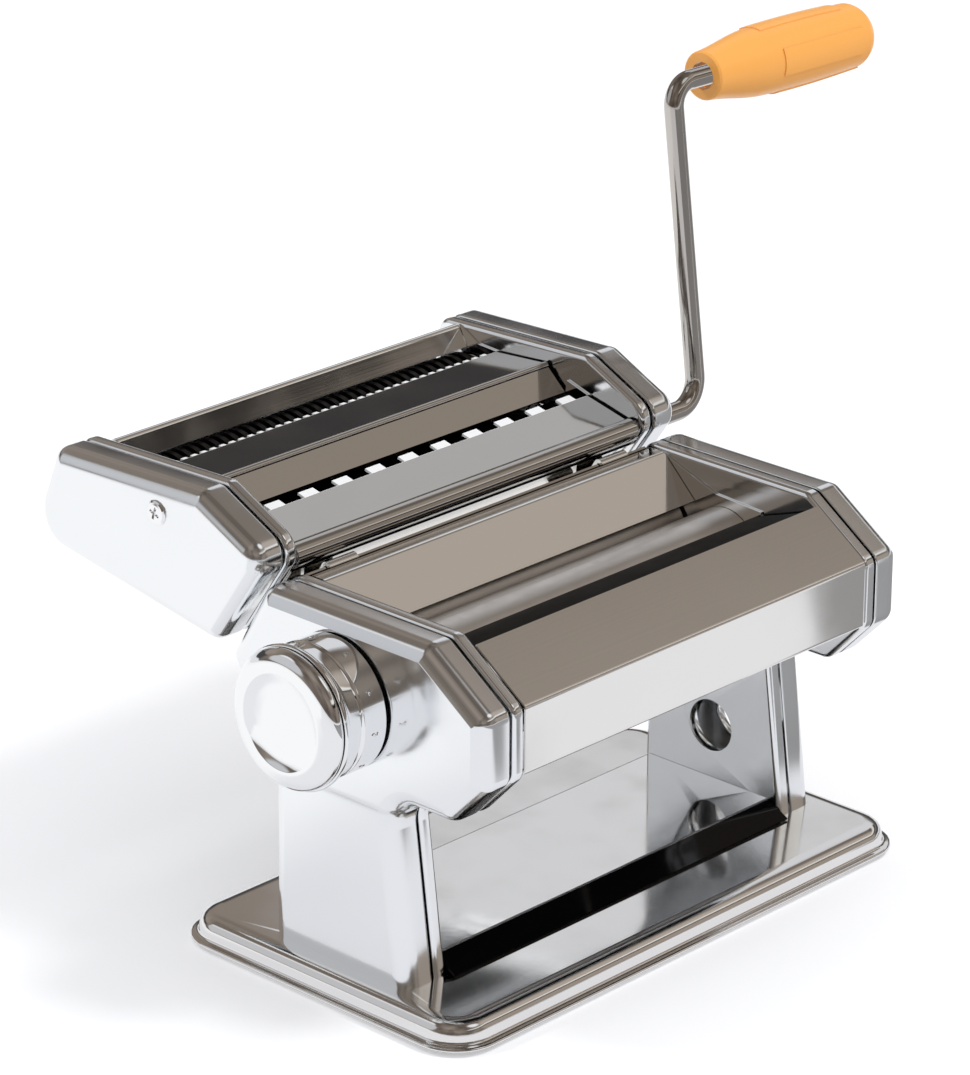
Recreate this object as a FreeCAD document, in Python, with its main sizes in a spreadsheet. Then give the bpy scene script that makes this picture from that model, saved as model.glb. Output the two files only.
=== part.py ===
import FreeCAD, Part
import Sketcher
import math
import os

# A hand cranked pasta machine. A pair of smooth rollers in the body flattens the dough, and a
# lift-off cutter head behind them cuts it into thin and wide noodles.
#
# Frame: X runs along the rollers, from the thickness knob (-X) to the crank (+X). -Y is the
# front, +Y the rear with the cutter head, and +Z is up. The origin is the middle of the
# footprint on the table, and every size is in millimetres.

SIZES = {
    # Rollers, side plates and covers, measured along X from the middle of the machine
    "roller_length": 150.0,
    "roller_play": 2.0,
    "sheet_wall": 0.8,
    "cut_spare": 1.0,
    "plate_wall": 1.0,
    "plate_flange": 4.7,
    "flange_bend": 1.5,
    "cover_gap": 0.8,
    "cover_depth": 12.0,
    "cover_edge": 3.0,
    "side_clearance": 0.1,
    "running_clearance": 0.05,
    "press_clearance": 0.02,
    # Base plate and its rubber feet
    "base_top": 9.3,
    "base_rim_low": 1.6,
    "base_margin": 10.0,
    "base_half_depth": 60.5,
    "base_step": 4.3,
    "base_step_drop": 3.2,
    "base_corner": 15.0,
    "foot_radius": 7.0,
    "foot_taper": 1.0,
    "foot_inset": 15.0,
    "screw_radius": 1.5,
    "screw_head_radius": 3.2,
    "screw_head_height": 1.8,
    "screw_length": 6.0,
    "screw_spread": 18.0,
    # Side outline of the body, seen along X
    "leg_splay": 7.7,
    "neck_reach": 17.4,
    "chin_drop": 26.3,
    "chin_reach": 41.9,
    "face_reach": 55.7,
    "face_drop": 11.8,
    "face_rise": 9.8,
    "brow_reach": 31.9,
    "top_rise": 26.2,
    "crown_reach": 4.4,
    "back_reach": 19.7,
    "back_drop": 25.5,
    "rear_neck_reach": 2.4,
    "rear_neck_drop": 28.8,
    "rear_leg_splay": 0.5,
    "body_corner": 5.0,
    "neck_corner": 7.0,
    "waist_corner": 12.0,
    # Panels between the side plates
    "panel_bend": 0.8,
    "panel_hem": 3.0,
    "slope_edge": 5.2,
    "back_panel_edge": 2.0,
    "back_panel_drop": 21.0,
    "hopper_overhang": 16.7,
    "hopper_low_rise": 12.2,
    "hopper_run": 13.3,
    "hopper_top_drop": 1.0,
    "hopper_ledge": 5.3,
    "guide_wall": 0.7,
    "guide_top_reach": 1.3,
    "guide_top_drop": 0.4,
    "guide_knee_reach": 4.1,
    "guide_knee_rise": 16.5,
    "guide_front_reach": 18.5,
    "guide_front_rise": 15.4,
    "guide_low_rise": 9.2,
    "guide_toe_drop": 1.5,
    "tray_rise": 5.1,
    "tray_inset": 5.1,
    "tray_rear_inset": 0.8,
    "tray_slope": 8.4,
    "clamp_hole_radius": 8.25,
    "clamp_hole_rise": 22.7,
    "clamp_rim_depth": 3.6,
    # Body rollers: the rear one is driven, the front one slides to set the gap
    "roller_radius": 13.2,
    "roller_bore": 11.0,
    "roller_end": 10.0,
    "roller_rise": 85.5,
    "rear_roller_depth": 24.6,
    "rollers_apart_closed": 26.8,
    "gap_travel": 2.4,
    "shaft_radius": 5.0,
    "shaft_reach": 3.6,
    "socket_radius": 3.35,
    "socket_depth": 20.5,
    "socket_reach": 2.5,
    "gear_width": 6.0,
    "gear_offset": 3.6,
    "body_gear_teeth": 14,
    "body_gear_addendum": 1.75,
    "gear_tip_room": 0.3,
    "gear_backlash": 0.25,
    "block_front": 8.0,
    "block_rear": 12.0,
    "block_height": 14.0,
    "block_wall": 4.0,
    "block_lead": 0.7,
    "bush_wall": 1.5,
    "bush_flange": 1.5,
    "bush_reach": 3.2,
    "tie_rod_radius": 2.5,
    "tie_rod_thread": 1.9,
    "tie_rod_reach": 3.2,
    "nut_radius": 3.4,
    "front_low_rod_inset": 5.0,
    "front_low_rod_rise": 3.5,
    "rear_low_rod_inset": 5.5,
    "rear_low_rod_rise": 4.0,
    "front_rod_inset": 10.3,
    "front_rod_rise": 12.0,
    "top_rod_inset": 5.0,
    "top_rod_drop": 8.5,
    "scraper_gap": 0.4,
    "scraper_wall": 0.8,
    "scraper_offset": 1.0,
    "rod_gap": 0.25,
    # Thickness dial on the left side
    "dial_offset": 2.0,
    "dial_shaft_radius": 4.0,
    "dial_thread_radius": 3.0,
    "cam_offset": 8.5,
    "cam_wall": 4.0,
    "cam_radius": 13.0,
    "follower_radius": 1.5,
    "follower_open": 7.0,
    "follower_room": 0.5,
    "groove_clearance": 0.1,
    "groove_depth": 3.0,
    "dial_turn_angle": 324.0,
    "groove_end_angle": 13.5,
    "index_wall": 1.0,
    "index_inner": 10.0,
    "index_outer": 17.0,
    "index_circle": 14.0,
    "index_hole_radius": 1.6,
    "index_holes": 10,
    "index_pin_radius": 1.5,
    "index_pin_clearance": 0.3,
    "knob_gap": 2.0,
    "knob_radius": 20.9,
    "knob_wall": 2.0,
    "knob_skirt_length": 15.0,
    "knob_rim_radius": 22.2,
    "knob_rim_width": 1.8,
    "knob_hub_radius": 7.0,
    "knob_hub_length": 4.5,
    "knob_cap_height": 4.7,
    "knob_cap_round": 4.4,
    "knob_cap_wall": 1.2,
    "cap_rim_gap": 0.7,
    "spring_room": 5.5,
    "shaft_nut_wall": 3.0,
    "shaft_nut_radius": 5.5,
    "spring_wire": 0.25,
    "spring_turns": 3,
    "spring_clearance": 0.3,
    # Side outline of the cutter head
    "cutter_front_top_reach": 6.0,
    "cutter_front_top_rise": 27.0,
    "cutter_rear_top_reach": 31.6,
    "cutter_rear_top_rise": 17.5,
    "cutter_rear_low_reach": 44.1,
    "cutter_rear_low_drop": 13.5,
    "cutter_front_low_setback": 5.7,
    "cutter_front_low_drop": 19.5,
    "cutter_nose_reach": 22.5,
    "cutter_nose_rise": 13.0,
    "cutter_top_corner": 4.0,
    "cutter_rear_corner": 12.0,
    "cutter_nose_corner": 7.5,
    "cover_screw_setback": 23.3,
    "cover_screw_lift": 16.3,
    "cover_screw_head": 4.0,
    "cover_screw_rise": 1.1,
    "cover_screw_brim": 0.35,
    "cover_screw_dome": 1.6,
    "cover_screw_shank": 1.9,
    "cutter_axes_apart": 18.0,
    "cutter_ring_radius": 9.6,
    "cutter_core_radius": 8.2,
    "cutter_shaft_radius": 4.6,
    "fine_setback": 37.9,
    "fine_rise": 7.5,
    "ring_margin": 2.0,
    "fine_pitch": 4.0,
    "fine_ring": 1.9,
    "wide_setback": 5.7,
    "wide_drop": 5.0,
    "wide_pitch": 14.3,
    "wide_ring": 7.0,
    "cutter_gear_teeth": 16,
    "cutter_gear_addendum": 0.9,
    "comb_clearance": 0.35,
    "ring_root": 1.0,
    "comb_bar_wall": 1.8,
    "comb_finger_gap": 0.3,
    "comb_finger_root": 0.5,
    "comb_turn_angle": 50.0,
    "comb_nip_angle": 60.0,
    "cutter_panel_low": 3.2,
    "cutter_panel_high": 27.5,
    "rear_lip_setback": 19.1,
    "rear_lip_lift": 10.6,
    "rear_lip_run": 4.1,
    "rear_lip_rise": 7.3,
    "rear_ledge_run": 6.2,
    "rear_ledge_drop": 3.8,
    "rear_panel_run": 9.7,
    "rear_panel_drop": 24.1,
    "divider_rear_setback": 6.1,
    "divider_rear_rise": 12.0,
    "divider_ridge_setback": 22.0,
    "divider_ridge_rise": 21.0,
    "divider_slope_run": 8.4,
    "divider_slope_drop": 7.7,
    "divider_bead": 1.2,
    "divider_bead_sink": 0.6,
    "divider_tooth_width": 2.0,
    "divider_tooth_length": 1.5,
    "guard_rear_setback": 4.0,
    "guard_rear_rise": 14.5,
    "guard_front_inset": 3.0,
    "guard_front_rise": 3.3,
    "guard_lap": 1.5,
    "guard_tooth_margin": 13.0,
    "guard_tooth_width": 6.2,
    "guard_tooth_length": 3.1,
    "feed_guide_inset": 0.5,
    "feed_guide_hang": 2.6,
    "feed_guide_rise": 4.0,
    "feed_guide_reach": 8.0,
    "bar_inset": 8.1,
    "bar_drop": 5.5,
    "bar_radius": 3.8,
    "cutter_mid_rod_setback": 28.5,
    "cutter_mid_rod_drop": 9.0,
    "cutter_rear_rod_setback": 31.6,
    "cutter_rear_rod_drop": 6.0,
    "hook_wall": 1.2,
    "hook_bend": 0.5,
    "hook_width": 12.0,
    "hook_inset": 15.0,
    "hook_clearance": 0.3,
    "hook_reach": 4.0,
    "hook_neck": 8.0,
    "hook_step": 4.0,
    "hook_leg": 22.0,
    # Crank and grip
    "crank_radius": 3.25,
    "crank_reach": 124.2,
    "crank_arm": 106.0,
    "crank_lean_angle": 7.3,
    "crank_low_bend": 10.0,
    "crank_high_bend": 8.0,
    "crank_pin_tilt_angle": 0.75,
    "crank_pin_room": 0.5,
    "crank_insert": 20.0,
    "grip_start": 14.6,
    "grip_length": 78.3,
    "grip_bore_end": 3.0,
    "grip_counterbore_radius": 4.6,
    "grip_counterbore_depth": 2.5,
    "grip_mouth_bevel": 0.6,
    "grip_mouth_radius": 8.1,
    "grip_neck_radius": 9.3,
    "grip_neck_place": 10.0,
    "grip_shoulder_radius": 11.0,
    "grip_shoulder_place": 21.0,
    "grip_belly_radius": 11.5,
    "grip_belly_place": 32.0,
    "grip_tail_radius": 10.9,
    "grip_nose_radius": 7.0,
    "grip_nose_length": 5.3,
    "grip_pad_rise": 0.45,
    "grip_pad_start": 24.5,
    "grip_pad_step": 3.6,
    "grip_pad_length": 40.8,
    "grip_pad_width": 9.0,
}

# Places that are measured from another place, and the size between the two

PLACES = {
    # Stations along X, the same on both sides
    "half_roller": "roller_length / 2",
    "plate_gap": "roller_length + roller_play",
    "half_gap": "plate_gap / 2",
    "flange_edge": "half_gap + plate_flange",
    "cover_mouth": "flange_edge + cover_gap",
    "cover_face": "cover_mouth + cover_depth",
    "base_half_length": "cover_face + base_margin",
    "block_start": "half_gap - block_lead",
    "bush_end": "half_gap + bush_reach",
    "shaft_left_end": "half_gap + shaft_reach",
    "gear_start": "half_gap + gear_offset",
    "tie_rod_end": "half_gap + tie_rod_reach",
    "cam_start": "half_gap + cam_offset",
    "knob_start": "cover_face + knob_gap",
    "knob_hub_end": "knob_start + knob_hub_length",
    "shaft_nut_start": "knob_hub_end + spring_room",
    "knob_skirt_end": "knob_start + knob_skirt_length",
    "knob_rim_end": "knob_skirt_end + knob_rim_width",
    "knob_cap_end": "knob_rim_end + knob_cap_height",
    "hook_offset": "half_roller - hook_inset",
    "guard_tooth_first": "guard_tooth_margin - half_roller",
    # Depths of the body
    "closed_roller_depth": "rear_roller_depth - rollers_apart_closed",
    "front_roller_depth": "closed_roller_depth - gap_travel",
    "dial_depth": "front_roller_depth + dial_offset",
    "face_depth": "front_roller_depth - face_reach",
    "brow_depth": "front_roller_depth - brow_reach",
    "chin_depth": "front_roller_depth - chin_reach",
    "leg_front_neck": "front_roller_depth - neck_reach",
    "leg_front_foot": "leg_front_neck - leg_splay",
    "crown_depth": "rear_roller_depth + crown_reach",
    "back_depth": "rear_roller_depth + back_reach",
    "leg_rear_neck": "rear_roller_depth + rear_neck_reach",
    "leg_rear_foot": "leg_rear_neck + rear_leg_splay",
    "hopper_low_depth": "rear_roller_depth - hopper_overhang",
    "hopper_top_depth": "hopper_low_depth + hopper_run",
    "guide_knee_depth": "front_roller_depth + guide_knee_reach",
    "guide_front_depth": "guide_knee_depth - guide_front_reach",
    "tray_front": "leg_front_foot + tray_inset",
    "tray_toe": "tray_front - tray_slope",
    "tray_rear": "leg_rear_foot - tray_rear_inset",
    "front_low_rod_depth": "leg_front_neck + front_low_rod_inset",
    "rear_low_rod_depth": "leg_rear_neck - rear_low_rod_inset",
    "front_rod_depth": "face_depth + front_rod_inset",
    "top_rod_depth": "crown_depth - top_rod_inset",
    # Heights of the body
    "roller_height": "base_top + roller_rise",
    "chin_height": "roller_height - chin_drop",
    "face_low": "roller_height - face_drop",
    "face_high": "roller_height + face_rise",
    "top_height": "roller_height + top_rise",
    "back_height": "top_height - back_drop",
    "leg_rear_neck_height": "roller_height - rear_neck_drop",
    "hopper_low_height": "roller_height + hopper_low_rise",
    "hopper_top_height": "top_height - hopper_top_drop",
    "guide_knee_height": "roller_height + guide_knee_rise",
    "guide_front_height": "roller_height + guide_front_rise",
    "guide_low_height": "roller_height + guide_low_rise",
    "tray_top": "base_top + tray_rise",
    "clamp_hole_height": "base_top + clamp_hole_rise",
    "front_low_rod_height": "chin_height + front_low_rod_rise",
    "rear_low_rod_height": "leg_rear_neck_height + rear_low_rod_rise",
    "front_rod_height": "face_low + front_rod_rise",
    "top_rod_height": "top_height - top_rod_drop",
    # Depths of the cutter head, which sits behind the body's back
    "wide_depth": "back_depth + wide_setback",
    "fine_depth": "wide_depth + fine_setback",
    "cutter_front_top": "wide_depth + cutter_front_top_reach",
    "cutter_rear_top": "fine_depth + cutter_rear_top_reach",
    "cutter_rear_low": "fine_depth + cutter_rear_low_reach",
    "cutter_front_low": "back_depth + cutter_front_low_setback",
    "cutter_nose": "wide_depth - cutter_nose_reach",
    "cover_screw_depth": "wide_depth + cover_screw_setback",
    "rear_lip_low": "fine_depth + rear_lip_setback",
    "rear_lip_top": "rear_lip_low + rear_lip_run",
    "rear_panel_top": "rear_lip_top + rear_ledge_run",
    "rear_panel_low": "rear_panel_top + rear_panel_run",
    "divider_rear": "fine_depth + divider_rear_setback",
    "divider_ridge": "wide_depth + divider_ridge_setback",
    "divider_low": "divider_ridge - divider_slope_run",
    "bar_depth": "cutter_nose + bar_inset",
    "guard_front": "bar_depth + guard_front_inset",
    "guard_rear": "wide_depth + guard_rear_setback",
    "cutter_mid_rod_depth": "wide_depth + cutter_mid_rod_setback",
    "cutter_rear_rod_depth": "fine_depth + cutter_rear_rod_setback",
    # Heights of the cutter head
    "wide_height": "top_height - wide_drop",
    "fine_height": "wide_height + fine_rise",
    "cutter_front_top_height": "wide_height + cutter_front_top_rise",
    "cutter_rear_top_height": "fine_height + cutter_rear_top_rise",
    "cutter_rear_low_height": "fine_height - cutter_rear_low_drop",
    "cutter_front_low_height": "wide_height - cutter_front_low_drop",
    "cutter_nose_height": "wide_height + cutter_nose_rise",
    "cover_screw_height": "wide_height + cover_screw_lift",
    "rear_lip_low_height": "fine_height + rear_lip_lift",
    "rear_lip_top_height": "rear_lip_low_height + rear_lip_rise",
    "rear_panel_top_height": "rear_lip_top_height - rear_ledge_drop",
    "rear_panel_low_height": "rear_panel_top_height - rear_panel_drop",
    "divider_rear_height": "fine_height + divider_rear_rise",
    "divider_ridge_height": "wide_height + divider_ridge_rise",
    "divider_low_height": "divider_ridge_height - divider_slope_drop",
    "bar_height": "cutter_nose_height - bar_drop",
    "guard_front_height": "bar_height + guard_front_rise",
    "guard_rear_height": "wide_height + guard_rear_rise",
    "cutter_mid_rod_height": "wide_height - cutter_mid_rod_drop",
    "cutter_rear_rod_height": "fine_height - cutter_rear_rod_drop",
}

os.makedirs("parts", exist_ok=True)
doc = FreeCAD.newDocument("PastaMachine")
sheet = doc.addObject("Spreadsheet::Sheet", "sizes")
for row, (alias, number) in enumerate(SIZES.items(), start=1):
    sheet.set("A%d" % row, alias)
    sheet.set("B%d" % row, str(number))
    sheet.setAlias("B%d" % row, alias)
doc.recompute()

V = FreeCAD.Vector
TINY = 1e-4
parts = {}


# Numbers that remember the sheet cells they come from

class Size:
    """A number together with the formula of sheet cells that gives it."""

    def __init__(self, value, formula):
        self.value = value
        self.formula = formula

    def __add__(self, other):
        other = as_size(other)
        return Size(self.value + other.value, "(%s + %s)" % (self.formula, other.formula))

    def __sub__(self, other):
        other = as_size(other)
        return Size(self.value - other.value, "(%s - %s)" % (self.formula, other.formula))

    def __mul__(self, other):
        other = as_size(other)
        return Size(self.value * other.value, "(%s * %s)" % (self.formula, other.formula))

    def __truediv__(self, other):
        other = as_size(other)
        return Size(self.value / other.value, "(%s / %s)" % (self.formula, other.formula))

    def __neg__(self):
        return Size(-self.value, "(0 - %s)" % self.formula)

    def __radd__(self, other):
        return as_size(other) + self

    def __rsub__(self, other):
        return as_size(other) - self

    def __rmul__(self, other):
        return as_size(other) * self


def as_size(number):
    """A plain number becomes a Size without a cell."""
    if isinstance(number, Size):
        return number
    return Size(float(number), "%r" % float(number))


def root(number):
    """The square root of a size."""
    return Size(math.sqrt(number.value), "sqrt(%s)" % number.formula)


def whole(number):
    """The whole part of a size, for counts."""
    return Size(math.floor(number.value), "floor(%s)" % number.formula)


class Cells:
    """Reads the sheet: cells.roller_length is that cell as a Size, and so is each place."""

    def __getattr__(self, alias):
        if alias not in PLACES:
            return Size(float(sheet.get(alias)), "sizes.%s" % alias)
        start, sign, step = PLACES[alias].split()
        start = getattr(self, start)
        step = as_size(step) if step.isdigit() else getattr(self, step)
        return {"+": start + step, "-": start - step, "/": start / step}[sign]


cells = Cells()


def bind(thing, **values):
    """Binds each named property of a thing to the sheet."""
    for name, value in values.items():
        value = as_size(value)
        setattr(thing, name, value.value)
        if "sizes." in value.formula:
            thing.setExpression(name, value.formula)


def place(thing, along_x, depth, height, rotation=None):
    """Puts a thing at a point that is bound to the sheet."""
    point = [as_size(value) for value in (along_x, depth, height)]
    thing.Placement = FreeCAD.Placement(V(*[value.value for value in point]),
                                        rotation or FreeCAD.Rotation())
    for axis, value in zip("xyz", point):
        if "sizes." in value.formula:
            thing.setExpression("Placement.Base.%s" % axis, value.formula)


def tilt(thing, axis, angle):
    """Turns a placed thing about an axis by an angle that is bound to the sheet."""
    thing.Placement = FreeCAD.Placement(thing.Placement.Base,
                                        FreeCAD.Rotation(axis, angle.value))
    thing.setExpression("Placement.Rotation.Angle", angle.formula)


def keep(label, thing):
    """Lists a finished piece under its own name."""
    thing.Label = label
    parts[label] = thing
    return thing


# Sketches whose corners are held by the sheet

def new_sketch(body, plane, offset=0.0):
    """A sketch on one of the body's own origin planes, moved along the plane's normal."""
    support = [f for f in body.Origin.OriginFeatures if f.Role == plane][0]
    sketch = body.newObject("Sketcher::SketchObject", "sketch")
    sketch.AttachmentSupport = (support, "")
    sketch.MapMode = "FlatFace"
    offset = as_size(offset)
    sketch.AttachmentOffset = FreeCAD.Placement(V(0, 0, offset.value), FreeCAD.Rotation())
    if "sizes." in offset.formula:
        sketch.setExpression("AttachmentOffset.Base.z", offset.formula)
    return sketch


def hold(sketch, value, *reference):
    """Adds a constraint of a given size that is bound to the sheet."""
    value = as_size(value)
    index = sketch.addConstraint(Sketcher.Constraint(*reference, value.value))
    if "sizes." in value.formula:
        sketch.setExpression("Constraints[%d]" % index, value.formula)


def hold_point(sketch, across, up, line, point):
    """Holds one point of a sketch by its two coordinates."""
    hold(sketch, across, "DistanceX", -1, 1, line, point)
    hold(sketch, up, "DistanceY", -1, 1, line, point)


def draw_loop(sketch, points):
    """Draws straight lines round a closed loop of points and joins their ends."""
    first = sketch.GeometryCount
    count = len(points)
    for i in range(count):
        sketch.addGeometry(Part.LineSegment(points[i], points[(i + 1) % count]), False)
    for i in range(count):
        joint = ("Coincident", first + i, 2, first + (i + 1) % count, 1)
        sketch.addConstraint(Sketcher.Constraint(*joint))
    return first


def draw_outline(sketch, corners):
    """Draws a closed outline with every corner held by its coordinates."""
    corners = [(as_size(across), as_size(up)) for across, up in corners]
    first = draw_loop(sketch, [V(across.value, up.value, 0) for across, up in corners])
    for i, (across, up) in enumerate(corners):
        hold_point(sketch, across, up, first + i, 1)


def draw_circle(sketch, across, up, radius):
    """Draws a circle held by its centre and radius."""
    across, up, radius = as_size(across), as_size(up), as_size(radius)
    centre = V(across.value, up.value, 0)
    index = sketch.addGeometry(Part.Circle(centre, V(0, 0, 1), radius.value), False)
    hold_point(sketch, across, up, index, 3)
    hold(sketch, radius, "Radius", index)


def offset_points(points, distance):
    """The corners of a line of points moved sideways by a distance."""
    moved = []
    for i, point in enumerate(points):
        before = points[max(i - 1, 0)]
        after = points[min(i + 1, len(points) - 1)]
        into = (point - before) if i > 0 else (after - point)
        out = (after - point) if i < len(points) - 1 else into
        normal_in = V(-into.y, into.x, 0).normalize()
        normal_out = V(-out.y, out.x, 0).normalize()
        middle = (normal_in + normal_out).normalize()
        moved.append(point + middle * (distance / middle.dot(normal_in)))
    return moved


def draw_bent_sheet(sketch, corners, wall, side):
    """Draws a bent sheet: its outer line is held, and its other face follows a wall away."""
    corners = [(as_size(across), as_size(up)) for across, up in corners]
    outer = [V(across.value, up.value, 0) for across, up in corners]
    inner = offset_points(outer, side * wall.value)
    first = draw_loop(sketch, outer + inner[::-1])
    for i, (across, up) in enumerate(corners):
        hold_point(sketch, across, up, first + i, 1)
    count = len(corners)
    for i in range(count - 1):
        twin = first + 2 * count - 2 - i
        sketch.addConstraint(Sketcher.Constraint("Parallel", first + i, twin))
        hold(sketch, wall, "Distance", twin, 1, first + i)
    last, end = first + count - 2, first + count - 1
    sketch.addConstraint(Sketcher.Constraint("Perpendicular", last, end))
    sketch.addConstraint(Sketcher.Constraint("Perpendicular", first, first + 2 * count - 1))
    return outer, inner


def along(start, end, distance):
    """The point that lies a distance along the line from start to end."""
    run = end[0] - start[0]
    rise = end[1] - start[1]
    length = root(run * run + rise * rise)
    return (start[0] + run * distance / length, start[1] + rise * distance / length)


# Features of the pressed and turned pieces

def new_body(label):
    """An empty body for one piece."""
    body = doc.addObject("PartDesign::Body", label)
    body.Label = label
    return body


def pad(body, sketch, length, backwards=False):
    """Gives a sketch its length."""
    feature = body.newObject("PartDesign::Pad", "pad")
    feature.Profile = sketch
    bind(feature, Length=length)
    feature.Reversed = backwards
    body.Tip = feature
    doc.recompute()
    return feature


def pocket(body, sketch, length, backwards=False):
    """Cuts a sketch out of the body, and stops if nothing was cut."""
    before = body.Shape.Volume
    feature = body.newObject("PartDesign::Pocket", "pocket")
    feature.Profile = sketch
    bind(feature, Length=length)
    feature.Reversed = backwards
    body.Tip = feature
    doc.recompute()
    if feature.Shape.Volume > before - TINY:
        raise RuntimeError("a cut in %s removes nothing" % body.Label)
    return feature


def edge_names(shape, test):
    """The names of the edges that pass a test."""
    return ["Edge%d" % (i + 1) for i, edge in enumerate(shape.Edges) if test(edge)]


def runs_along_x(edge):
    """True for a straight edge parallel to X."""
    box = edge.BoundBox
    return box.XLength > TINY and box.YLength < TINY and box.ZLength < TINY


def edges_at(shape, depth, height):
    """The names of the edges along X that pass through a point of the side view."""
    def near(edge):
        point = edge.Vertexes[0].Point
        return math.hypot(point.y - depth, point.z - height) < 0.01
    return edge_names(shape, lambda edge: runs_along_x(edge) and near(edge))


def dress_up(body, kind, names):
    """Adds a feature that changes the named edges or faces of the body's last feature."""
    last = body.Tip
    feature = body.newObject(kind, "dress_up")
    feature.Base = (last, names)
    return feature


def round_edges(body, names, radius):
    """Rounds the named edges of the body's last feature."""
    if not names:
        raise RuntimeError("no edge to round in %s" % body.Label)
    feature = dress_up(body, "PartDesign::Fillet", names)
    bind(feature, Radius=radius)
    body.Tip = feature
    doc.recompute()
    return feature


def turned(label, profile, depth=0.0, height=0.0):
    """A piece turned about a line along X: its profile is a list of (along X, radius)."""
    body = new_body(label)
    sketch = new_sketch(body, "XZ_Plane")
    draw_outline(sketch, profile)
    feature = body.newObject("PartDesign::Revolution", "turn")
    feature.Profile = sketch
    feature.ReferenceAxis = (sketch, ["H_Axis"])
    feature.Angle = 360.0
    body.Tip = feature
    place(body, 0.0, depth, height)
    doc.recompute()
    return body


def repeat_along_x(body, feature, pitch, count):
    """Repeats a feature along X."""
    pattern = body.newObject("PartDesign::LinearPattern", "row")
    pattern.Originals = [feature]
    line = [f for f in body.Origin.OriginFeatures if f.Role == "X_Axis"][0]
    pattern.Direction = (line, [""])
    span = pitch * (count - 1)
    bind(pattern, Length=span)
    pattern.Occurrences = int(count.value)
    pattern.setExpression("Occurrences", count.formula)
    body.Tip = pattern
    doc.recompute()
    return pattern


def bent_sheet(label, left, right, corners, side, wall, bend=None):
    """A sheet bent along X: its outer line, and the side (+1 left, -1 right) of its wall."""
    body = new_body(label)
    sketch = new_sketch(body, "YZ_Plane", left)
    outer, inner = draw_bent_sheet(sketch, corners, wall, side)
    pad(body, sketch, as_size(right) - left)
    if bend is None:
        return body
    tight, slack = [], []
    for i in range(1, len(outer) - 1):
        turn = (outer[i] - outer[i - 1]).cross(outer[i + 1] - outer[i]).z
        pair = (inner[i], outer[i]) if turn * side > 0 else (outer[i], inner[i])
        tight.append(pair[0])
        slack.append(pair[1])
    for points, radius in ((tight, bend), (slack, bend + wall)):
        names = []
        for point in points:
            names += edges_at(body.Tip.Shape, point.x, point.y)
        round_edges(body, names, radius)
    return body


def flat_plate(label, left, right, corners, holes=()):
    """A flat plate across X, with round holes given as (depth, height, radius)."""
    body = new_body(label)
    sketch = new_sketch(body, "YZ_Plane", left)
    draw_outline(sketch, corners)
    for hole in holes:
        draw_circle(sketch, *hole)
    pad(body, sketch, as_size(right) - left)
    return body


def pressed_tray(label, corners, mouth, face, wall, edge_radius):
    """A sheet pressed into a tray across X: corners are (depth, height, corner radius)."""
    mouth, face = as_size(mouth), as_size(face)
    leftwards = face.value < mouth.value
    body = new_body(label)
    sketch = new_sketch(body, "YZ_Plane", mouth)
    draw_outline(sketch, [(depth, height) for depth, height, _ in corners])
    pad(body, sketch, mouth - face if leftwards else face - mouth, leftwards)
    by_radius = {}
    for depth, height, radius in corners:
        if radius is not None:
            by_radius.setdefault(radius.formula, (radius, []))[1].append((depth, height))
    for radius, points in by_radius.values():
        names = []
        for depth, height in points:
            names += edges_at(body.Tip.Shape, depth.value, height.value)
        round_edges(body, names, radius)
    on_face = lambda edge: (abs(edge.BoundBox.XMin - face.value) < TINY
                            and edge.BoundBox.XLength < TINY)
    round_edges(body, edge_names(body.Tip.Shape, on_face), edge_radius)
    open_side = ["Face%d" % (i + 1) for i, f in enumerate(body.Tip.Shape.Faces)
                 if f.BoundBox.XLength < TINY and abs(f.BoundBox.XMin - mouth.value) < TINY]
    shell = dress_up(body, "PartDesign::Thickness", open_side)
    bind(shell, Value=wall)
    shell.Mode = 0
    shell.Join = 0
    shell.Reversed = True
    body.Tip = shell
    doc.recompute()
    return body


def side_holes(body, mouth, face, draw):
    """Cuts what draw(sketch) draws through a tray's face."""
    mouth, face = as_size(mouth), as_size(face)
    leftwards = face.value < mouth.value
    sketch = new_sketch(body, "YZ_Plane", mouth)
    draw(sketch)
    depth = mouth - face if leftwards else face - mouth
    pocket(body, sketch, depth, not leftwards)


def cylinder(label, start, length, depth, height, radius):
    """A plain rod along +X."""
    rod = doc.addObject("Part::Cylinder", label)
    rod.Label = label
    bind(rod, Radius=radius, Height=length)
    place(rod, start, depth, height, FreeCAD.Rotation(V(0, 1, 0), 90))
    return rod


def cut(label, base, tool):
    """One piece less another."""
    result = doc.addObject("Part::Cut", label)
    result.Label = label
    result.Base = base
    result.Tool = tool
    return result


def fuse(label, pieces):
    """Several pieces joined into one solid."""
    result = doc.addObject("Part::MultiFuse", label)
    result.Label = label
    result.Shapes = pieces
    return result


def group(label, pieces):
    """Like pieces kept under one name as separate solids."""
    result = doc.addObject("Part::Compound", label)
    result.Label = label
    result.Links = pieces
    return result


# Stations along X, the same on both sides

half_gap = cells.half_gap
half_roller = cells.half_roller
inside = half_gap - cells.side_clearance
flange_edge = cells.flange_edge
cover_mouth = cells.cover_mouth
cover_face = cells.cover_face
front_roller_depth = cells.front_roller_depth
SIDES = (("left", -1), ("right", 1))


# Base plate, pressed from one sheet, with four rubber feet under it

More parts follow.
